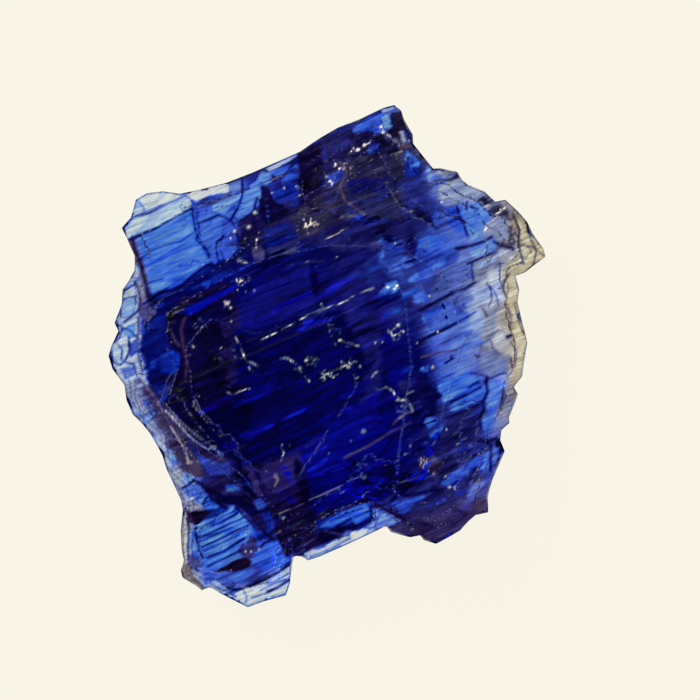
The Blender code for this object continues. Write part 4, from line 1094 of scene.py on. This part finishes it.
# painted highlights: these cream specks are glints
SPECKS = [
    # radius, strength, middle
    (2.2, 0.8, (231, 305)), (1.8, 0.8, (234, 309)), (1.2, 0.6, (228, 303)), (1.2, 0.5, (235, 322)),
    (1.2, 0.7, (240, 282)), (1.1, 0.7, (241, 292)), (0.8, 0.5, (237, 294)), (0.8, 0.5, (249, 293)),
    (0.8, 0.5, (257, 292)), (1.2, 0.4, (196, 315)), (1.3, 0.5, (207, 327)), (1.8, 0.5, (199, 347)),
    (1.2, 0.5, (195, 355)), (1.2, 0.6, (193, 412)), (1.4, 0.4, (182, 397)), (1.6, 0.3, (204, 320)),
    (1.8, 0.7, (232, 240)), (1.4, 0.6, (236, 232)), (1.4, 0.6, (229, 260)), (1.4, 0.5, (234, 252)),
    (2.0, 0.6, (256, 214)), (2.0, 0.5, (250, 228)), (1.6, 0.4, (246, 240)), (1.2, 0.4, (204, 265)),
    (1.4, 0.7, (285, 189)), (1.0, 0.7, (296, 187)), (1.0, 0.7, (300, 196)), (1.0, 0.6, (273, 194)),
    (1.6, 0.6, (336, 167)), (1.2, 0.5, (344, 171)), (1.6, 0.7, (358, 152)), (1.6, 0.7, (364, 147)),
    (1.5, 0.8, (381, 128)), (1.2, 0.6, (399, 147)), (1.2, 0.6, (396, 157)), (2.2, 0.7, (307, 227)),
    (1.6, 0.5, (312, 222)), (1.4, 0.5, (309, 236)), (1.4, 0.5, (318, 230)), (1.6, 0.6, (441, 204)),
    (1.2, 0.4, (388, 176)), (1.4, 0.5, (396, 195)), (1.2, 0.6, (425, 247)), (1.2, 0.5, (394, 246)),
    (1.0, 0.6, (522, 253)), (1.2, 0.6, (538, 257)), (1.1, 0.5, (521, 262)), (1.1, 0.5, (500, 210)),
    (1.2, 0.7, (436, 332)), (1.0, 0.6, (416, 343)), (1.2, 0.8, (428, 297)), (1.3, 0.9, (431, 367)),
    (1.3, 0.7, (397, 326)), (1.1, 0.7, (402, 332)), (0.9, 0.5, (382, 342)), (0.8, 0.5, (375, 343)),
    (1.3, 0.9, (387, 289)), (1.3, 0.9, (396, 288)), (1.4, 0.9, (329, 373)), (1.1, 0.7, (334, 377)),
    (0.9, 0.6, (360, 366)), (0.9, 0.6, (357, 377)), (1.4, 0.5, (363, 429)), (0.8, 0.4, (351, 439)),
    (1.6, 0.35, (364, 475)), (1.6, 0.35, (361, 472)), (1.3, 0.8, (409, 444)), (1.0, 0.7, (404, 452)),
    (1.3, 0.6, (445, 428)), (1.3, 0.9, (448, 485)), (1.0, 0.8, (454, 484)), (1.1, 0.9, (477, 469)),
    (1.2, 0.8, (478, 479)), (1.6, 0.6, (466, 472)), (1.2, 0.7, (477, 453)), (1.6, 0.5, (485, 448)),
    (1.2, 0.6, (427, 469)), (1.2, 0.6, (432, 472)), (1.5, 1.0, (260.5, 547.5)), (1.2, 0.9, (246, 550)),
    (1.0, 0.9, (252, 550)), (1.1, 0.8, (284, 515)), (0.9, 0.4, (290, 518)), (1.2, 0.4, (276, 486)),
    (1.4, 0.35, (269, 467)), (1.0, 0.4, (284, 442)), (0.9, 0.4, (291, 442)), (1.0, 0.5, (154, 312)),
    (1.3, 0.4, (428, 518)), (1.4, 0.5, (412, 529)), (1.1, 0.5, (231, 569)), (1.2, 0.4, (329, 451)),
]
# painted highlights: patches of tiny cream scraps are clusters of glints
FLECKED = [
    # strength, reach along and across the grain, middle
    (1.0, 7, 9, (254, 226)), (0.9, 6, 6, (251, 238)), (0.8, 5, 6, (233, 238)),
    (0.6, 7, 10, (231, 254)), (0.9, 8, 4, (292, 190)), (1.0, 9, 6, (308, 227)),
    (0.8, 8, 5, (317, 226)), (1.0, 8, 7, (358, 154)), (0.9, 7, 5, (366, 146)),
    (0.8, 6, 7, (335, 170)), (0.6, 5, 9, (331, 182)), (0.4, 14, 6, (358, 186)),
    (0.7, 6, 4, (396, 195)), (0.4, 9, 9, (346, 170)), (0.9, 8, 5, (390, 139)),
    (0.4, 16, 9, (318, 208)), (0.35, 13, 6, (340, 244)), (0.8, 9, 8, (244, 288)),
    (0.9, 4, 5, (232, 307)), (0.4, 12, 12, (222, 350)), (1.0, 11, 6, (306, 366)),
    (0.9, 9, 4, (330, 373)), (0.8, 9, 3, (349, 364)), (0.5, 14, 8, (376, 341)),
    (0.8, 7, 5, (394, 334)), (1.0, 5, 3, (391, 289)), (0.4, 16, 16, (438, 466)),
    (0.8, 9, 6, (452, 484)), (0.6, 8, 7, (422, 462)), (0.5, 11, 6, (463, 447)),
    (0.6, 6, 8, (478, 478)), (0.4, 12, 8, (425, 520)), (0.5, 7, 9, (410, 446)),
    (0.7, 8, 8, (526, 256)), (0.7, 6, 6, (538, 256)), (0.45, 8, 14, (516, 322)),
    (0.5, 6, 12, (519, 362)), (0.5, 8, 8, (205, 325)), (0.35, 14, 8, (196, 300)),
    (0.5, 6, 8, (284, 536)), (0.35, 8, 10, (190, 462)), (0.6, 6, 6, (398, 404)),
]
crumbs = 0.3 + 0.7 * ramp(hills(along * 4.0, across * 7.0, 80) + 0.4 * edge_shake, -0.4, 0.4)
bruise_and_glint = np.zeros(len(plan))
for strength, half_width, line in RIDGES:
    points = place(line)
    where = near(points, 0.5)
    distance = line_distance(plan[where], points) + 0.03 * edge_shake[where]
    bell = np.exp(-((distance / (0.85 * half_width * PIXEL)) ** 2))
    spot = RIDGE_STRENGTH * strength * bell * crumbs[where]
    bruise_and_glint[where] = np.maximum(bruise_and_glint[where], spot)
for radius, strength, middle in SPECKS:
    point = place([middle])
    where = near(point, 0.4)
    distance = np.hypot(*(plan[where] - point[0]).T) * (1 + 0.5 * edge_shake[where])
    spot = strength * np.exp(-((distance / (0.9 * radius * PIXEL)) ** 3))
    bruise_and_glint[where] = np.maximum(bruise_and_glint[where], spot)
wriggle = hills(along * 3.6, across * 4.6, 81) + 0.6 * hills(along * 6.5, across * 9.0, 82)
scraps = np.exp(-((wriggle / 0.2) ** 2)) * ramp(hills(along * 2.4, across * 3.2, 83), -0.15, 0.45)
for strength, reach_along, reach_across, middle in FLECKED:
    where, distance = oval_distance(1.5, reach_along, reach_across, middle)
    spot = SCRAP_STRENGTH * strength * np.exp(-(distance ** 2)) * scraps[where]
    bruise_and_glint[where] = np.maximum(bruise_and_glint[where], spot)
bruise_and_glint = ramp(bruise_and_glint, *BRUISE_AND_GLINT_FROM)
print("bruised_and_glinting points:", int((bruise_and_glint > 0.1).sum()))

# %% [markdown]
# ## The upper face
# The upper face is the highest plate at each place. A plate's wall is all but upright, as the
# crystal breaks. Strips along the grain climb slowly and fall back, narrow staves lie on them,
# and every facet stands a little above or below its neighbour.

# %% Heights of the upper face
WALL_LEAN = 0.02
STRIPS, STRIP_WIDTH, STRIP_WIDTH_CHANGE, DROP_WIDTH, STRIP_RISE = 15, 1.65, 0.3, 0.95, 0.22
STEPPED_ABOVE, FULLY_STEPPED_AT = 2.4, 4.0
RIM_LEVEL, RIM_THICKNESS = 2.1, 0.12
TEAR = 0.06
STAVE_HEIGHT, LINE_HEIGHT, HAIR_HEIGHT, FACET_HEIGHT, BRUISE_AND_GLINT_HEIGHT = 0.022, 0.012, 0.004, 0.10, 0.015


def torn(distance, seed):
    """A distance to an outline, shaken by hills stretched along the grain."""
    return distance + TEAR * hills(along * 0.9, across * 2.5, seed)


def plate_top(outline, high, tip, seed):
    """Height of a plate's upper face, falling away outside its torn outline as steeply as its
    wall leans."""
    ring = place(outline)
    middle = ring.mean(axis=0)
    face = high + (plan - middle) @ np.array(tip)
    outside = np.maximum(-torn(edge_distance(plan, ring), seed), 0)
    return face - outside / WALL_LEAN


def stepped(distance):
    """The strips along the grain: each climbs along a straight line and falls back faster."""
    strip = np.arange(STRIPS)
    edges = (strip - (STRIPS - 1) / 2) * STRIP_WIDTH + STRIP_WIDTH_CHANGE * np.sin(2.7 * strip)
    knots = np.stack([edges - DROP_WIDTH / 2, edges + DROP_WIDTH / 2], axis=1).ravel()
    tops = STRIP_RISE * (0.65 + 0.35 * np.sin(4.1 * strip))
    return np.interp(distance, knots, np.stack([tops, -0.3 * tops], axis=1).ravel())


def staves(seed, width):
    """Narrow straight staves along the grain, each with its own small height and its own
    width, with short slopes between them."""
    random = np.random.default_rng(seed)
    edges = np.cumsum(random.uniform(0.5 * width, 1.5 * width, int(28 / width))) - 14
    heights = random.uniform(-1, 1, len(edges))
    knots = np.stack([edges[:-1] + 0.04, edges[1:] - 0.04], axis=1).ravel()
    shifted = across + 0.15 * hills(along * 0.12, across * 0.12, seed) + 0.02 * edge_shake
    return np.interp(shifted, knots, heights[:-1].repeat(2))


soft_ink = spread(facet_ink[:, None], 3)[:, 0]
tops = np.stack([plate_top(outline, high, tip, 10 * i)
                 for i, (outline, _, high, tip) in enumerate(PLATES)])
top = tops.max(axis=0)
for i, (outline, floor) in enumerate(BITES):
    outside = np.maximum(-torn(edge_distance(plan, place(outline)), 400 + i), 0)
    top = np.minimum(top, floor + outside / WALL_LEAN)
share = np.clip((top - STEPPED_ABOVE) / (FULLY_STEPPED_AT - STEPPED_ABOVE), 0, 1)
top = top + share * stepped(across + 0.06 * hills(along * 0.6, across * 0.4, 90))
one_or_other = ramp(hills(along * 0.3, across * 0.9, 91), -0.06, 0.06)
relief = STAVE_HEIGHT * (staves(92, 0.32) * one_or_other + staves(93, 0.45) * (1 - one_or_other))
relief = relief + LINE_HEIGHT * hills(along * 0.45, across * 5.0, 94)
relief = relief + HAIR_HEIGHT * hills(along * 0.9, across * 11.0, 95)
relief = relief + FACET_HEIGHT * (FIRST_DEPTH - soft_ink) + BRUISE_AND_GLINT_HEIGHT * bruise_and_glint
relief = ramp(gap, 0, 0.3) * relief
print("upper face, mm:", round(top.min(), 2), "to", round(top.max(), 2))

# %% [markdown]
# ## The underside and the rim
# The stone rests on one small flat spot. Round it the underside steps up to the thin rim. At
# the rim the sheets step back one after the other, above and below. Cliffs stay sharp, but a
# low step is eased into a slope, because a steep low step would glitter in dots. The steps of
# the underside are rounder, so they don't show through as straight lines.

# %% Heights of the underside, and the broken rim
UNDER_LEAN = 1.8
CLIFF_FROM = 0.32, 0.46
LOW_STEP_PASSES, UNDERSIDE_PASSES = 12, 24
LEAST_THICKNESS = 0.1
WAVE_MIDDLE, WAVE_HEIGHT, RIPPLE_HEIGHT = 0.05, 0.04, 0.02
SHEETS_ABOVE = [(0, 0), (0.05, 0.26), (0.6, 0.38), (0.62, 0.72), (1.0, 0.8), (1.02, 1.35), (1.7, 1.6),
                (1.72, 2.4), (2.6, 2.8), (2.62, 3.8), (3.5, 4.2), (3.52, 5.6)]
SHEETS_BELOW = [(0, 0), (0.05, 0.14), (1.2, 0.42), (2.2, 0.82), (3.2, 1.3), (4.0, 2.1)]


def under(outline, low, lean, seed):
    """Height of a step of the underside, rising outside its torn outline."""
    outside = np.maximum(-torn(edge_distance(plan, place(outline)), seed), 0)
    return low + outside / lean


def sheets(steps, distance):
    """How far the sheets have stepped away from the middle of the rim, at a distance from it."""
    return np.interp(distance, *zip(*steps))


def height_range(heights, reach):
    """Highest less lowest height among the neighbours of each point, so many cells away."""
    high, low = np.full(number.size, -np.inf), np.full(number.size, np.inf)
    high[used] = low[used] = heights
    high, low = high.reshape(grid_shape), low.reshape(grid_shape)
    for _ in range(reach):
        for axis in (0, 1):
            high = np.maximum(np.maximum(np.roll(high, 1, axis), high), np.roll(high, -1, axis))
            low = np.minimum(np.minimum(np.roll(low, 1, axis), low), np.roll(low, -1, axis))
    return (high - low).ravel()[used]


bottom = under(FLAT_SPOT, 0.0, UNDER_LEAN, 600)
for i, (outline, low) in enumerate(UNDER_STEPS):
    bottom = np.minimum(bottom, under(outline, low, UNDER_LEAN, 610 + 5 * i))
for i, (outline, low, _, _) in enumerate(PLATES):
    bottom = np.minimum(bottom, under(outline, low, UNDER_LEAN, 650 + 5 * i))
lift = ramp(bottom, 0.02, 0.3)
bottom = bottom + lift * (WAVE_MIDDLE + WAVE_HEIGHT * hills(along * 0.3, across * 1.2, 700))
bottom = bottom + lift * RIPPLE_HEIGHT * hills(along * 0.7, across * 2.5, 705)

thick = RIM_THICKNESS * (1 + 0.4 * hills(along * 1.5, across * 1.5, 720))
loose = 1 + 0.3 * hills(along * 0.4, across * 0.5, 730) + 0.04 * edge_shake
top = np.minimum(top, RIM_LEVEL + thick + sheets(SHEETS_ABOVE, gap * loose))
bottom = np.maximum(bottom, RIM_LEVEL - thick - sheets(SHEETS_BELOW, gap / loose))
bottom = bottom + lift * ramp(gap, 0.8, 1.6) * (spread(bottom[:, None], UNDERSIDE_PASSES)[:, 0] - bottom)
eased = 1 - ramp(height_range(top, 5), *CLIFF_FROM)
top = top + eased * (spread(top[:, None], LOW_STEP_PASSES)[:, 0] - top) + relief
top = np.clip(top, None, stone_high.z / MM)
bottom = np.clip(bottom, 0, None)
top = np.maximum(top, bottom + LEAST_THICKNESS)
thickness = top - bottom
print("thickness, mm: median", round(float(np.median(thickness)), 2), "most", round(thickness.max(), 2))

# %% [markdown]
# ## From depth of colour to the tint of the surface
# The depths above say how the stone should look over the floor. The crystal inside already
# swallows some light, the more the thicker it is, and both faces throw a little back. What is
# left to do is the tint of the two faces. The shader takes the square root of the tint at each
# face, so the tint is squared here. The underside gets a soft tint and the upper face the rest.
# In the thick part the blue turns to violet, and haze and stains have colours of their own.

# %% Tints of both faces
FLOOR_COLOUR = np.array([0.92, 0.89, 0.78])
ABSORBED_PER_MM = np.array([0.20, 0.12, 0.02])
PASSED_BY_FACES = 0.93
SOFT_PASSES, SOFT_POWER, LEAST_SOFT = 40, 0.4, 0.02
CLEAR_BLUES = [
    (0.0, (232, 240, 250)), (0.1, (190, 210, 240)), (0.2, (140, 175, 240)),
    (0.3, (100, 148, 248)), (0.4, (64, 112, 240)), (0.5, (40, 84, 222)), (0.6, (19, 44, 158)),
    (0.7, (8, 22, 112)), (0.8, (5, 9, 86)), (0.9, (4, 4, 64)), (1.0, (3, 2, 38)),
]
DEEP_BLUES = [
    (0.0, (215, 225, 250)), (0.3, (70, 90, 240)), (0.5, (18, 30, 210)), (0.6, (9, 14, 178)),
    (0.7, (5, 6, 130)), (0.8, (3, 3, 92)), (0.9, (2, 2, 66)), (1.0, (2, 1, 38)),
]
HAZY_GREYS = [
    (0.0, (232, 234, 234)), (0.2, (176, 180, 184)), (0.4, (122, 126, 136)), (0.6, (74, 74, 88)),
    (0.8, (38, 36, 56)), (1.0, (14, 12, 26)),
]
BROWN_STAINS = [
    (0.0, (240, 230, 198)), (0.2, (196, 182, 146)), (0.4, (146, 130, 106)), (0.6, (96, 76, 80)),
    (0.8, (50, 28, 50)), (1.0, (20, 8, 24)),
]
THICK_PART = [(178, 312), (262, 262), (345, 266), (385, 300), (412, 380), (420, 440), (404, 490),
              (345, 503), (304, 530), (262, 476), (200, 436), (172, 404), (186, 360)]


def look(stops, depth):
    """Colour at each depth, mixed between the stops, from screen numbers to light: a screen
    number's share of 255, to the power 2.2."""
    depths = [stop_depth for stop_depth, _ in stops]
    light = (np.array([colour for _, colour in stops]) / 255) ** 2.2
    return np.stack([np.interp(depth, depths, light[:, i]) for i in range(3)], axis=1)


thick_part = ramp(edge_distance(plan, place(THICK_PART)), -0.3, 0.6)[:, None]
seen = look(CLEAR_BLUES, ink) * (1 - thick_part) + look(DEEP_BLUES, ink) * thick_part
seen = seen + grey[:, None] * (look(HAZY_GREYS, ink) - seen)
seen = seen + warm[:, None] * (look(BROWN_STAINS, ink) - seen)
passed = np.exp(-ABSORBED_PER_MM * thickness[:, None])
wanted_share = np.clip(seen / (FLOOR_COLOUR * PASSED_BY_FACES * passed), 0, 1)
soft_share = np.clip(1.2 * spread(wanted_share, SOFT_PASSES) ** SOFT_POWER, LEAST_SOFT, 1)
tint_top = np.clip(wanted_share / soft_share, 0, 1) ** 2
tint_bottom = soft_share ** 2
print("mean tint above:", tint_top.mean(axis=0).round(3), "below:", tint_bottom.mean(axis=0).round(3))

# %% [markdown]
# ## The mesh
# A band of upright faces round the rim joins the upper cells and the lower faces into one
# closed body. Each face also knows whether it is upright: the upward part of its normal is
# then close to 0.

# %% One closed body from the two faces


def closed_body(name):
    """The upper cells, the faces of the underside turned over, and one upright face for each
    outer side of a cell, as one mesh."""
    upper = np.full(number.size, -1)
    upper[used] = np.arange(len(used))
    lower = np.full(number.size, -1)
    lower[low_used] = len(used) + np.arange(len(low_used))
    low_points = np.column_stack([grid[low_used], bottom[upper[low_used]]])
    points = np.concatenate([np.column_stack([plan, top]), low_points]) * MM
    walls = np.stack([upper[outer[:, 1]], upper[outer[:, 0]], lower[outer[:, 0]], lower[outer[:, 1]]], axis=1)
    turned, turned_wanted = border[:, ::-1], wanted[:, ::-1]
    corner_lists = [upper[cells].ravel(), lower[small_cells[:, ::-1]].ravel(), walls.ravel(),
                    lower[turned[turned_wanted]]]
    four = len(cells) + len(small_cells) + len(walls)
    counts = np.concatenate([np.full(four, 4), turned_wanted.sum(axis=1)])
    corner_list = np.concatenate(corner_lists)
    mesh = bpy.data.meshes.new(name)
    mesh.vertices.add(len(points))
    mesh.vertices.foreach_set("co", points.astype(np.float32).ravel())
    mesh.loops.add(len(corner_list))
    mesh.loops.foreach_set("vertex_index", corner_list.astype(np.int32))
    mesh.polygons.add(len(counts))
    starts = np.concatenate([[0], np.cumsum(counts)[:-1]])
    mesh.polygons.foreach_set("loop_start", starts.astype(np.int32))
    mesh.update(calc_edges=True)
    print("mended:", mesh.validate(), "triangles:", int((counts - 2).sum()))
    mesh.shade_smooth()
    mesh.set_sharp_from_angle(angle=math.radians(30))
    body = bpy.data.objects.new(name, mesh)
    bpy.context.scene.collection.objects.link(body)
    return body


UPRIGHT_BELOW = 0.12, 0.25
low_slots = np.searchsorted(used, low_used)
stone = closed_body("rough_tanzanite")
tint = np.concatenate([tint_top, tint_bottom[low_slots]])
tint_field = stone.data.attributes.new("tint", "FLOAT_COLOR", "POINT")
tint_field.data.foreach_set("color", np.column_stack([tint, np.ones(len(tint))]).astype(np.float32).ravel())
# cream bruises and painted glints, for the shader
bruise_and_glint_field = stone.data.attributes.new("bruise_and_glint", "FLOAT", "POINT")
bruise_and_glint_field.data.foreach_set("value", np.concatenate([bruise_and_glint, np.zeros(len(low_used))]).astype(np.float32))
normals = np.empty(3 * len(stone.data.polygons), np.float32)
stone.data.polygons.foreach_get("normal", normals)
# painted light: how upright each face is, so the shader can lift the tint of the cliffs by their orientation
upright = 1 - ramp(np.abs(normals.reshape(-1, 3)[:, 2]), *UPRIGHT_BELOW)
upright_field = stone.data.attributes.new("upright", "FLOAT", "FACE")
upright_field.data.foreach_set("value", upright.astype(np.float32))
print("share of upright faces:", round(float(upright.mean()), 3))

# %% [markdown]
# ## The crystal
# A clear stone bends and swallows light. The Principled shader bends it, with the stone's own
# index of refraction, and a plain Volume Absorption swallows it, red first, then green. The
# surface colour is the tint. A bruise scatters light instead of letting it through, and the same
# cream marks are painted glints, so there the shader is less clear and rougher, and cream. The
# finest lines along the grain are noise, which changes the tint a little and is also a slight
# bump. The upright cliffs get painted light: because of their orientation they are never darker
# than a clear blue, so that light also comes through the stone from the side.

# %% The crystal's material
INDEX_OF_REFRACTION = 1.7
SHEEN = 0.15
ABSORPTION_DENSITY = 400.0
# the cream of the bruises and of the painted glints
BRUISE_AND_GLINT_CREAM = (0.86, 0.76, 0.62, 1)
# painted light: the tint that upright faces never fall below
CLIFF_BLUE = (0.008, 0.015, 0.20, 1)
CLEARNESS_STONE, CLEARNESS_BRUISE_AND_GLINT = 1.0, 0.1
ROUGHNESS_STONE, ROUGHNESS_ADDED_BY_BRUISE_AND_GLINT = 0.04, 0.4
LINE_SIZES = (1 / 900, 1 / 9000, 1 / 2500)  # in metres: along the grain, across it, and in depth
LINE_BUMP, LINE_BUMP_HEIGHT = 0.35, 0.00002
NOISE_RANGE, TINT_RANGE = (0.35, 0.65), (0.6, 1.4)


def crystal():
    """See-through blue-violet with a tint, cream bruises and painted glints, and a fine grain."""
    material = bpy.data.materials.new("clear_crystal")
    material.use_nodes = True
    nodes, links = material.node_tree.nodes, material.node_tree.links

    def field(name):
        """A node that reads one of the mesh's fields."""
        node = nodes.new("ShaderNodeAttribute")
        node.attribute_name = name
        return node

    def colour_mix(way):
        """A node that mixes two colours in one of the ways that layers of paint are mixed."""
        node = nodes.new("ShaderNodeMix")
        node.data_type, node.blend_type = "RGBA", way
        return node

    shader = nodes["Principled BSDF"]
    shader.inputs["IOR"].default_value = INDEX_OF_REFRACTION
    shader.inputs["Specular IOR Level"].default_value = SHEEN
    tint_in, bruise_and_glint_in, upright_in = field("tint"), field("bruise_and_glint"), field("upright")
    # cream where the stone is bruised and where glints are painted
    cream = colour_mix("MIX")
    cream.inputs["B"].default_value = BRUISE_AND_GLINT_CREAM
    links.new(bruise_and_glint_in.outputs["Fac"], cream.inputs["Factor"])
    links.new(cream.outputs["Result"], shader.inputs["Base Color"])
    clear = nodes.new("ShaderNodeMapRange")
    clear.inputs["To Min"].default_value = CLEARNESS_STONE
    clear.inputs["To Max"].default_value = CLEARNESS_BRUISE_AND_GLINT
    links.new(bruise_and_glint_in.outputs["Fac"], clear.inputs["Value"])
    links.new(clear.outputs["Result"], shader.inputs["Transmission Weight"])

    where = nodes.new("ShaderNodeTexCoord")
    turn = nodes.new("ShaderNodeMapping")
    turn.vector_type = "TEXTURE"
    turn.inputs["Rotation"].default_value = (0, 0, GRAIN_ANGLE)
    turn.inputs["Scale"].default_value = LINE_SIZES
    lines = nodes.new("ShaderNodeTexNoise")
    lines.inputs["Scale"].default_value = 1.0
    lines.inputs["Detail"].default_value = 3.0
    bump = nodes.new("ShaderNodeBump")
    bump.inputs["Strength"].default_value = LINE_BUMP
    bump.inputs["Distance"].default_value = LINE_BUMP_HEIGHT
    links.new(where.outputs["Object"], turn.inputs["Vector"])
    links.new(turn.outputs["Vector"], lines.inputs["Vector"])
    links.new(lines.outputs["Fac"], bump.inputs["Height"])
    links.new(bump.outputs["Normal"], shader.inputs["Normal"])

    lined = nodes.new("ShaderNodeMapRange")
    lined.inputs["From Min"].default_value, lined.inputs["From Max"].default_value = NOISE_RANGE
    lined.inputs["To Min"].default_value, lined.inputs["To Max"].default_value = TINT_RANGE
    hatched = colour_mix("MULTIPLY")
    hatched.inputs["Factor"].default_value = 1.0
    links.new(lines.outputs["Fac"], lined.inputs["Value"])
    links.new(tint_in.outputs["Color"], hatched.inputs["A"])
    links.new(lined.outputs["Result"], hatched.inputs["B"])
    # painted light: upright faces are lightened to at least CLIFF_BLUE
    cliffs = colour_mix("LIGHTEN")
    cliffs.inputs["B"].default_value = CLIFF_BLUE
    links.new(upright_in.outputs["Fac"], cliffs.inputs["Factor"])
    links.new(hatched.outputs["Result"], cliffs.inputs["A"])
    links.new(cliffs.outputs["Result"], cream.inputs["A"])

    rough = nodes.new("ShaderNodeMath")
    rough.operation = "MULTIPLY_ADD"
    rough.inputs[1].default_value = ROUGHNESS_ADDED_BY_BRUISE_AND_GLINT
    rough.inputs[2].default_value = ROUGHNESS_STONE
    links.new(bruise_and_glint_in.outputs["Fac"], rough.inputs[0])
    links.new(rough.outputs["Value"], shader.inputs["Roughness"])

    absorb = nodes.new("ShaderNodeVolumeAbsorption")
    absorb.inputs["Color"].default_value = (*(1 - ABSORBED_PER_MM / MM / ABSORPTION_DENSITY), 1)
    absorb.inputs["Density"].default_value = ABSORPTION_DENSITY
    links.new(absorb.outputs["Volume"], nodes["Material Output"].inputs["Volume"])
    return material


stone.data.materials.append(crystal())
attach(stone, "root")
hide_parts("tanzanite")

# %% [markdown]
# ## Floor, light and camera
# The photograph shows the stone against a bright pale ground. Here it lies on a pale floor
# that is lit through from below, like a light table, in a room that is bright only low down.

# %% The pale floor
FLOOR_RADIUS = 2.0
bpy.ops.mesh.primitive_circle_add(vertices=96, radius=FLOOR_RADIUS, fill_type="NGON", location=(0, 0, 0))
floor = bpy.context.object
floor.name = "floor"
floor_material = bpy.data.materials.new("pale_floor")
floor_material.use_nodes = True
glow = floor_material.node_tree.nodes["Principled BSDF"]
glow.inputs["Base Color"].default_value = (0.02, 0.02, 0.02, 1)
glow.inputs["Roughness"].default_value = 0.9
glow.inputs["Emission Color"].default_value = (*FLOOR_COLOUR, 1)
glow.inputs["Emission Strength"].default_value = 1.0
floor.data.materials.append(floor_material)

# %% The room: bright at the horizon, dim overhead
world = bpy.data.worlds.new("room")
bpy.context.scene.world = world
world.use_nodes = True
nodes, links = world.node_tree.nodes, world.node_tree.links
coordinates = nodes.new("ShaderNodeTexCoord")
parts = nodes.new("ShaderNodeSeparateXYZ")
sky = nodes.new("ShaderNodeValToRGB")
SKY = [(0.0, (*FLOOR_COLOUR, 1)), (0.05, (0.62, 0.60, 0.54, 1)), (0.16, (0.16, 0.16, 0.16, 1)),
       (0.4, (0.02, 0.02, 0.024, 1)), (0.8, (0.01, 0.01, 0.013, 1))]
sky.color_ramp.elements[0].position, sky.color_ramp.elements[0].color = SKY[0]
sky.color_ramp.elements[1].position, sky.color_ramp.elements[1].color = SKY[-1]
for position, colour in SKY[1:-1]:
    sky.color_ramp.elements.new(position).color = colour
links.new(coordinates.outputs["Generated"], parts.inputs["Vector"])
links.new(parts.outputs["Z"], sky.inputs["Fac"])
links.new(sky.outputs["Color"], nodes["Background"].inputs["Color"])

# %% A soft lamp, low at the upper left, for the cream bruises and painted glints, and the edges
LAMP_AT = (-0.30, 0.30, 0.30)
LAMP_WIDTH = 0.40
LAMP_WATTS = 6.0
lamp_data = bpy.data.lights.new("soft_lamp", "AREA")
lamp_data.size = LAMP_WIDTH
lamp_data.energy = LAMP_WATTS
lamp_data.color = (1.0, 0.96, 0.92)
lamp = bpy.data.objects.new("soft_lamp", lamp_data)
bpy.context.scene.collection.objects.link(lamp)
lamp.location = LAMP_AT
lamp.visible_glossy = False
lamp.rotation_euler = (math.atan2(math.hypot(LAMP_AT[0], LAMP_AT[1]), LAMP_AT[2]), 0,
                       math.atan2(-LAMP_AT[0], LAMP_AT[1]) + math.pi)

# %% The camera, straight above
PHOTO_WIDTH = 700
LENS, SENSOR = 150, 36
view_width = PHOTO_WIDTH * PIXEL * MM
camera_data = bpy.data.cameras.new("camera")
camera = bpy.data.objects.new("camera", camera_data)
bpy.context.scene.collection.objects.link(camera)
bpy.context.scene.camera = camera
camera_data.lens, camera_data.sensor_width = LENS, SENSOR
camera_data.clip_start = 0.001
aim = place((PHOTO_WIDTH / 2, PHOTO_WIDTH / 2)) * MM
camera.location = (aim[0], aim[1], RIM_LEVEL * MM + view_width * LENS / SENSOR)
bpy.context.scene.view_settings.view_transform = "Standard"
bpy.context.scene.cycles.use_denoising = True
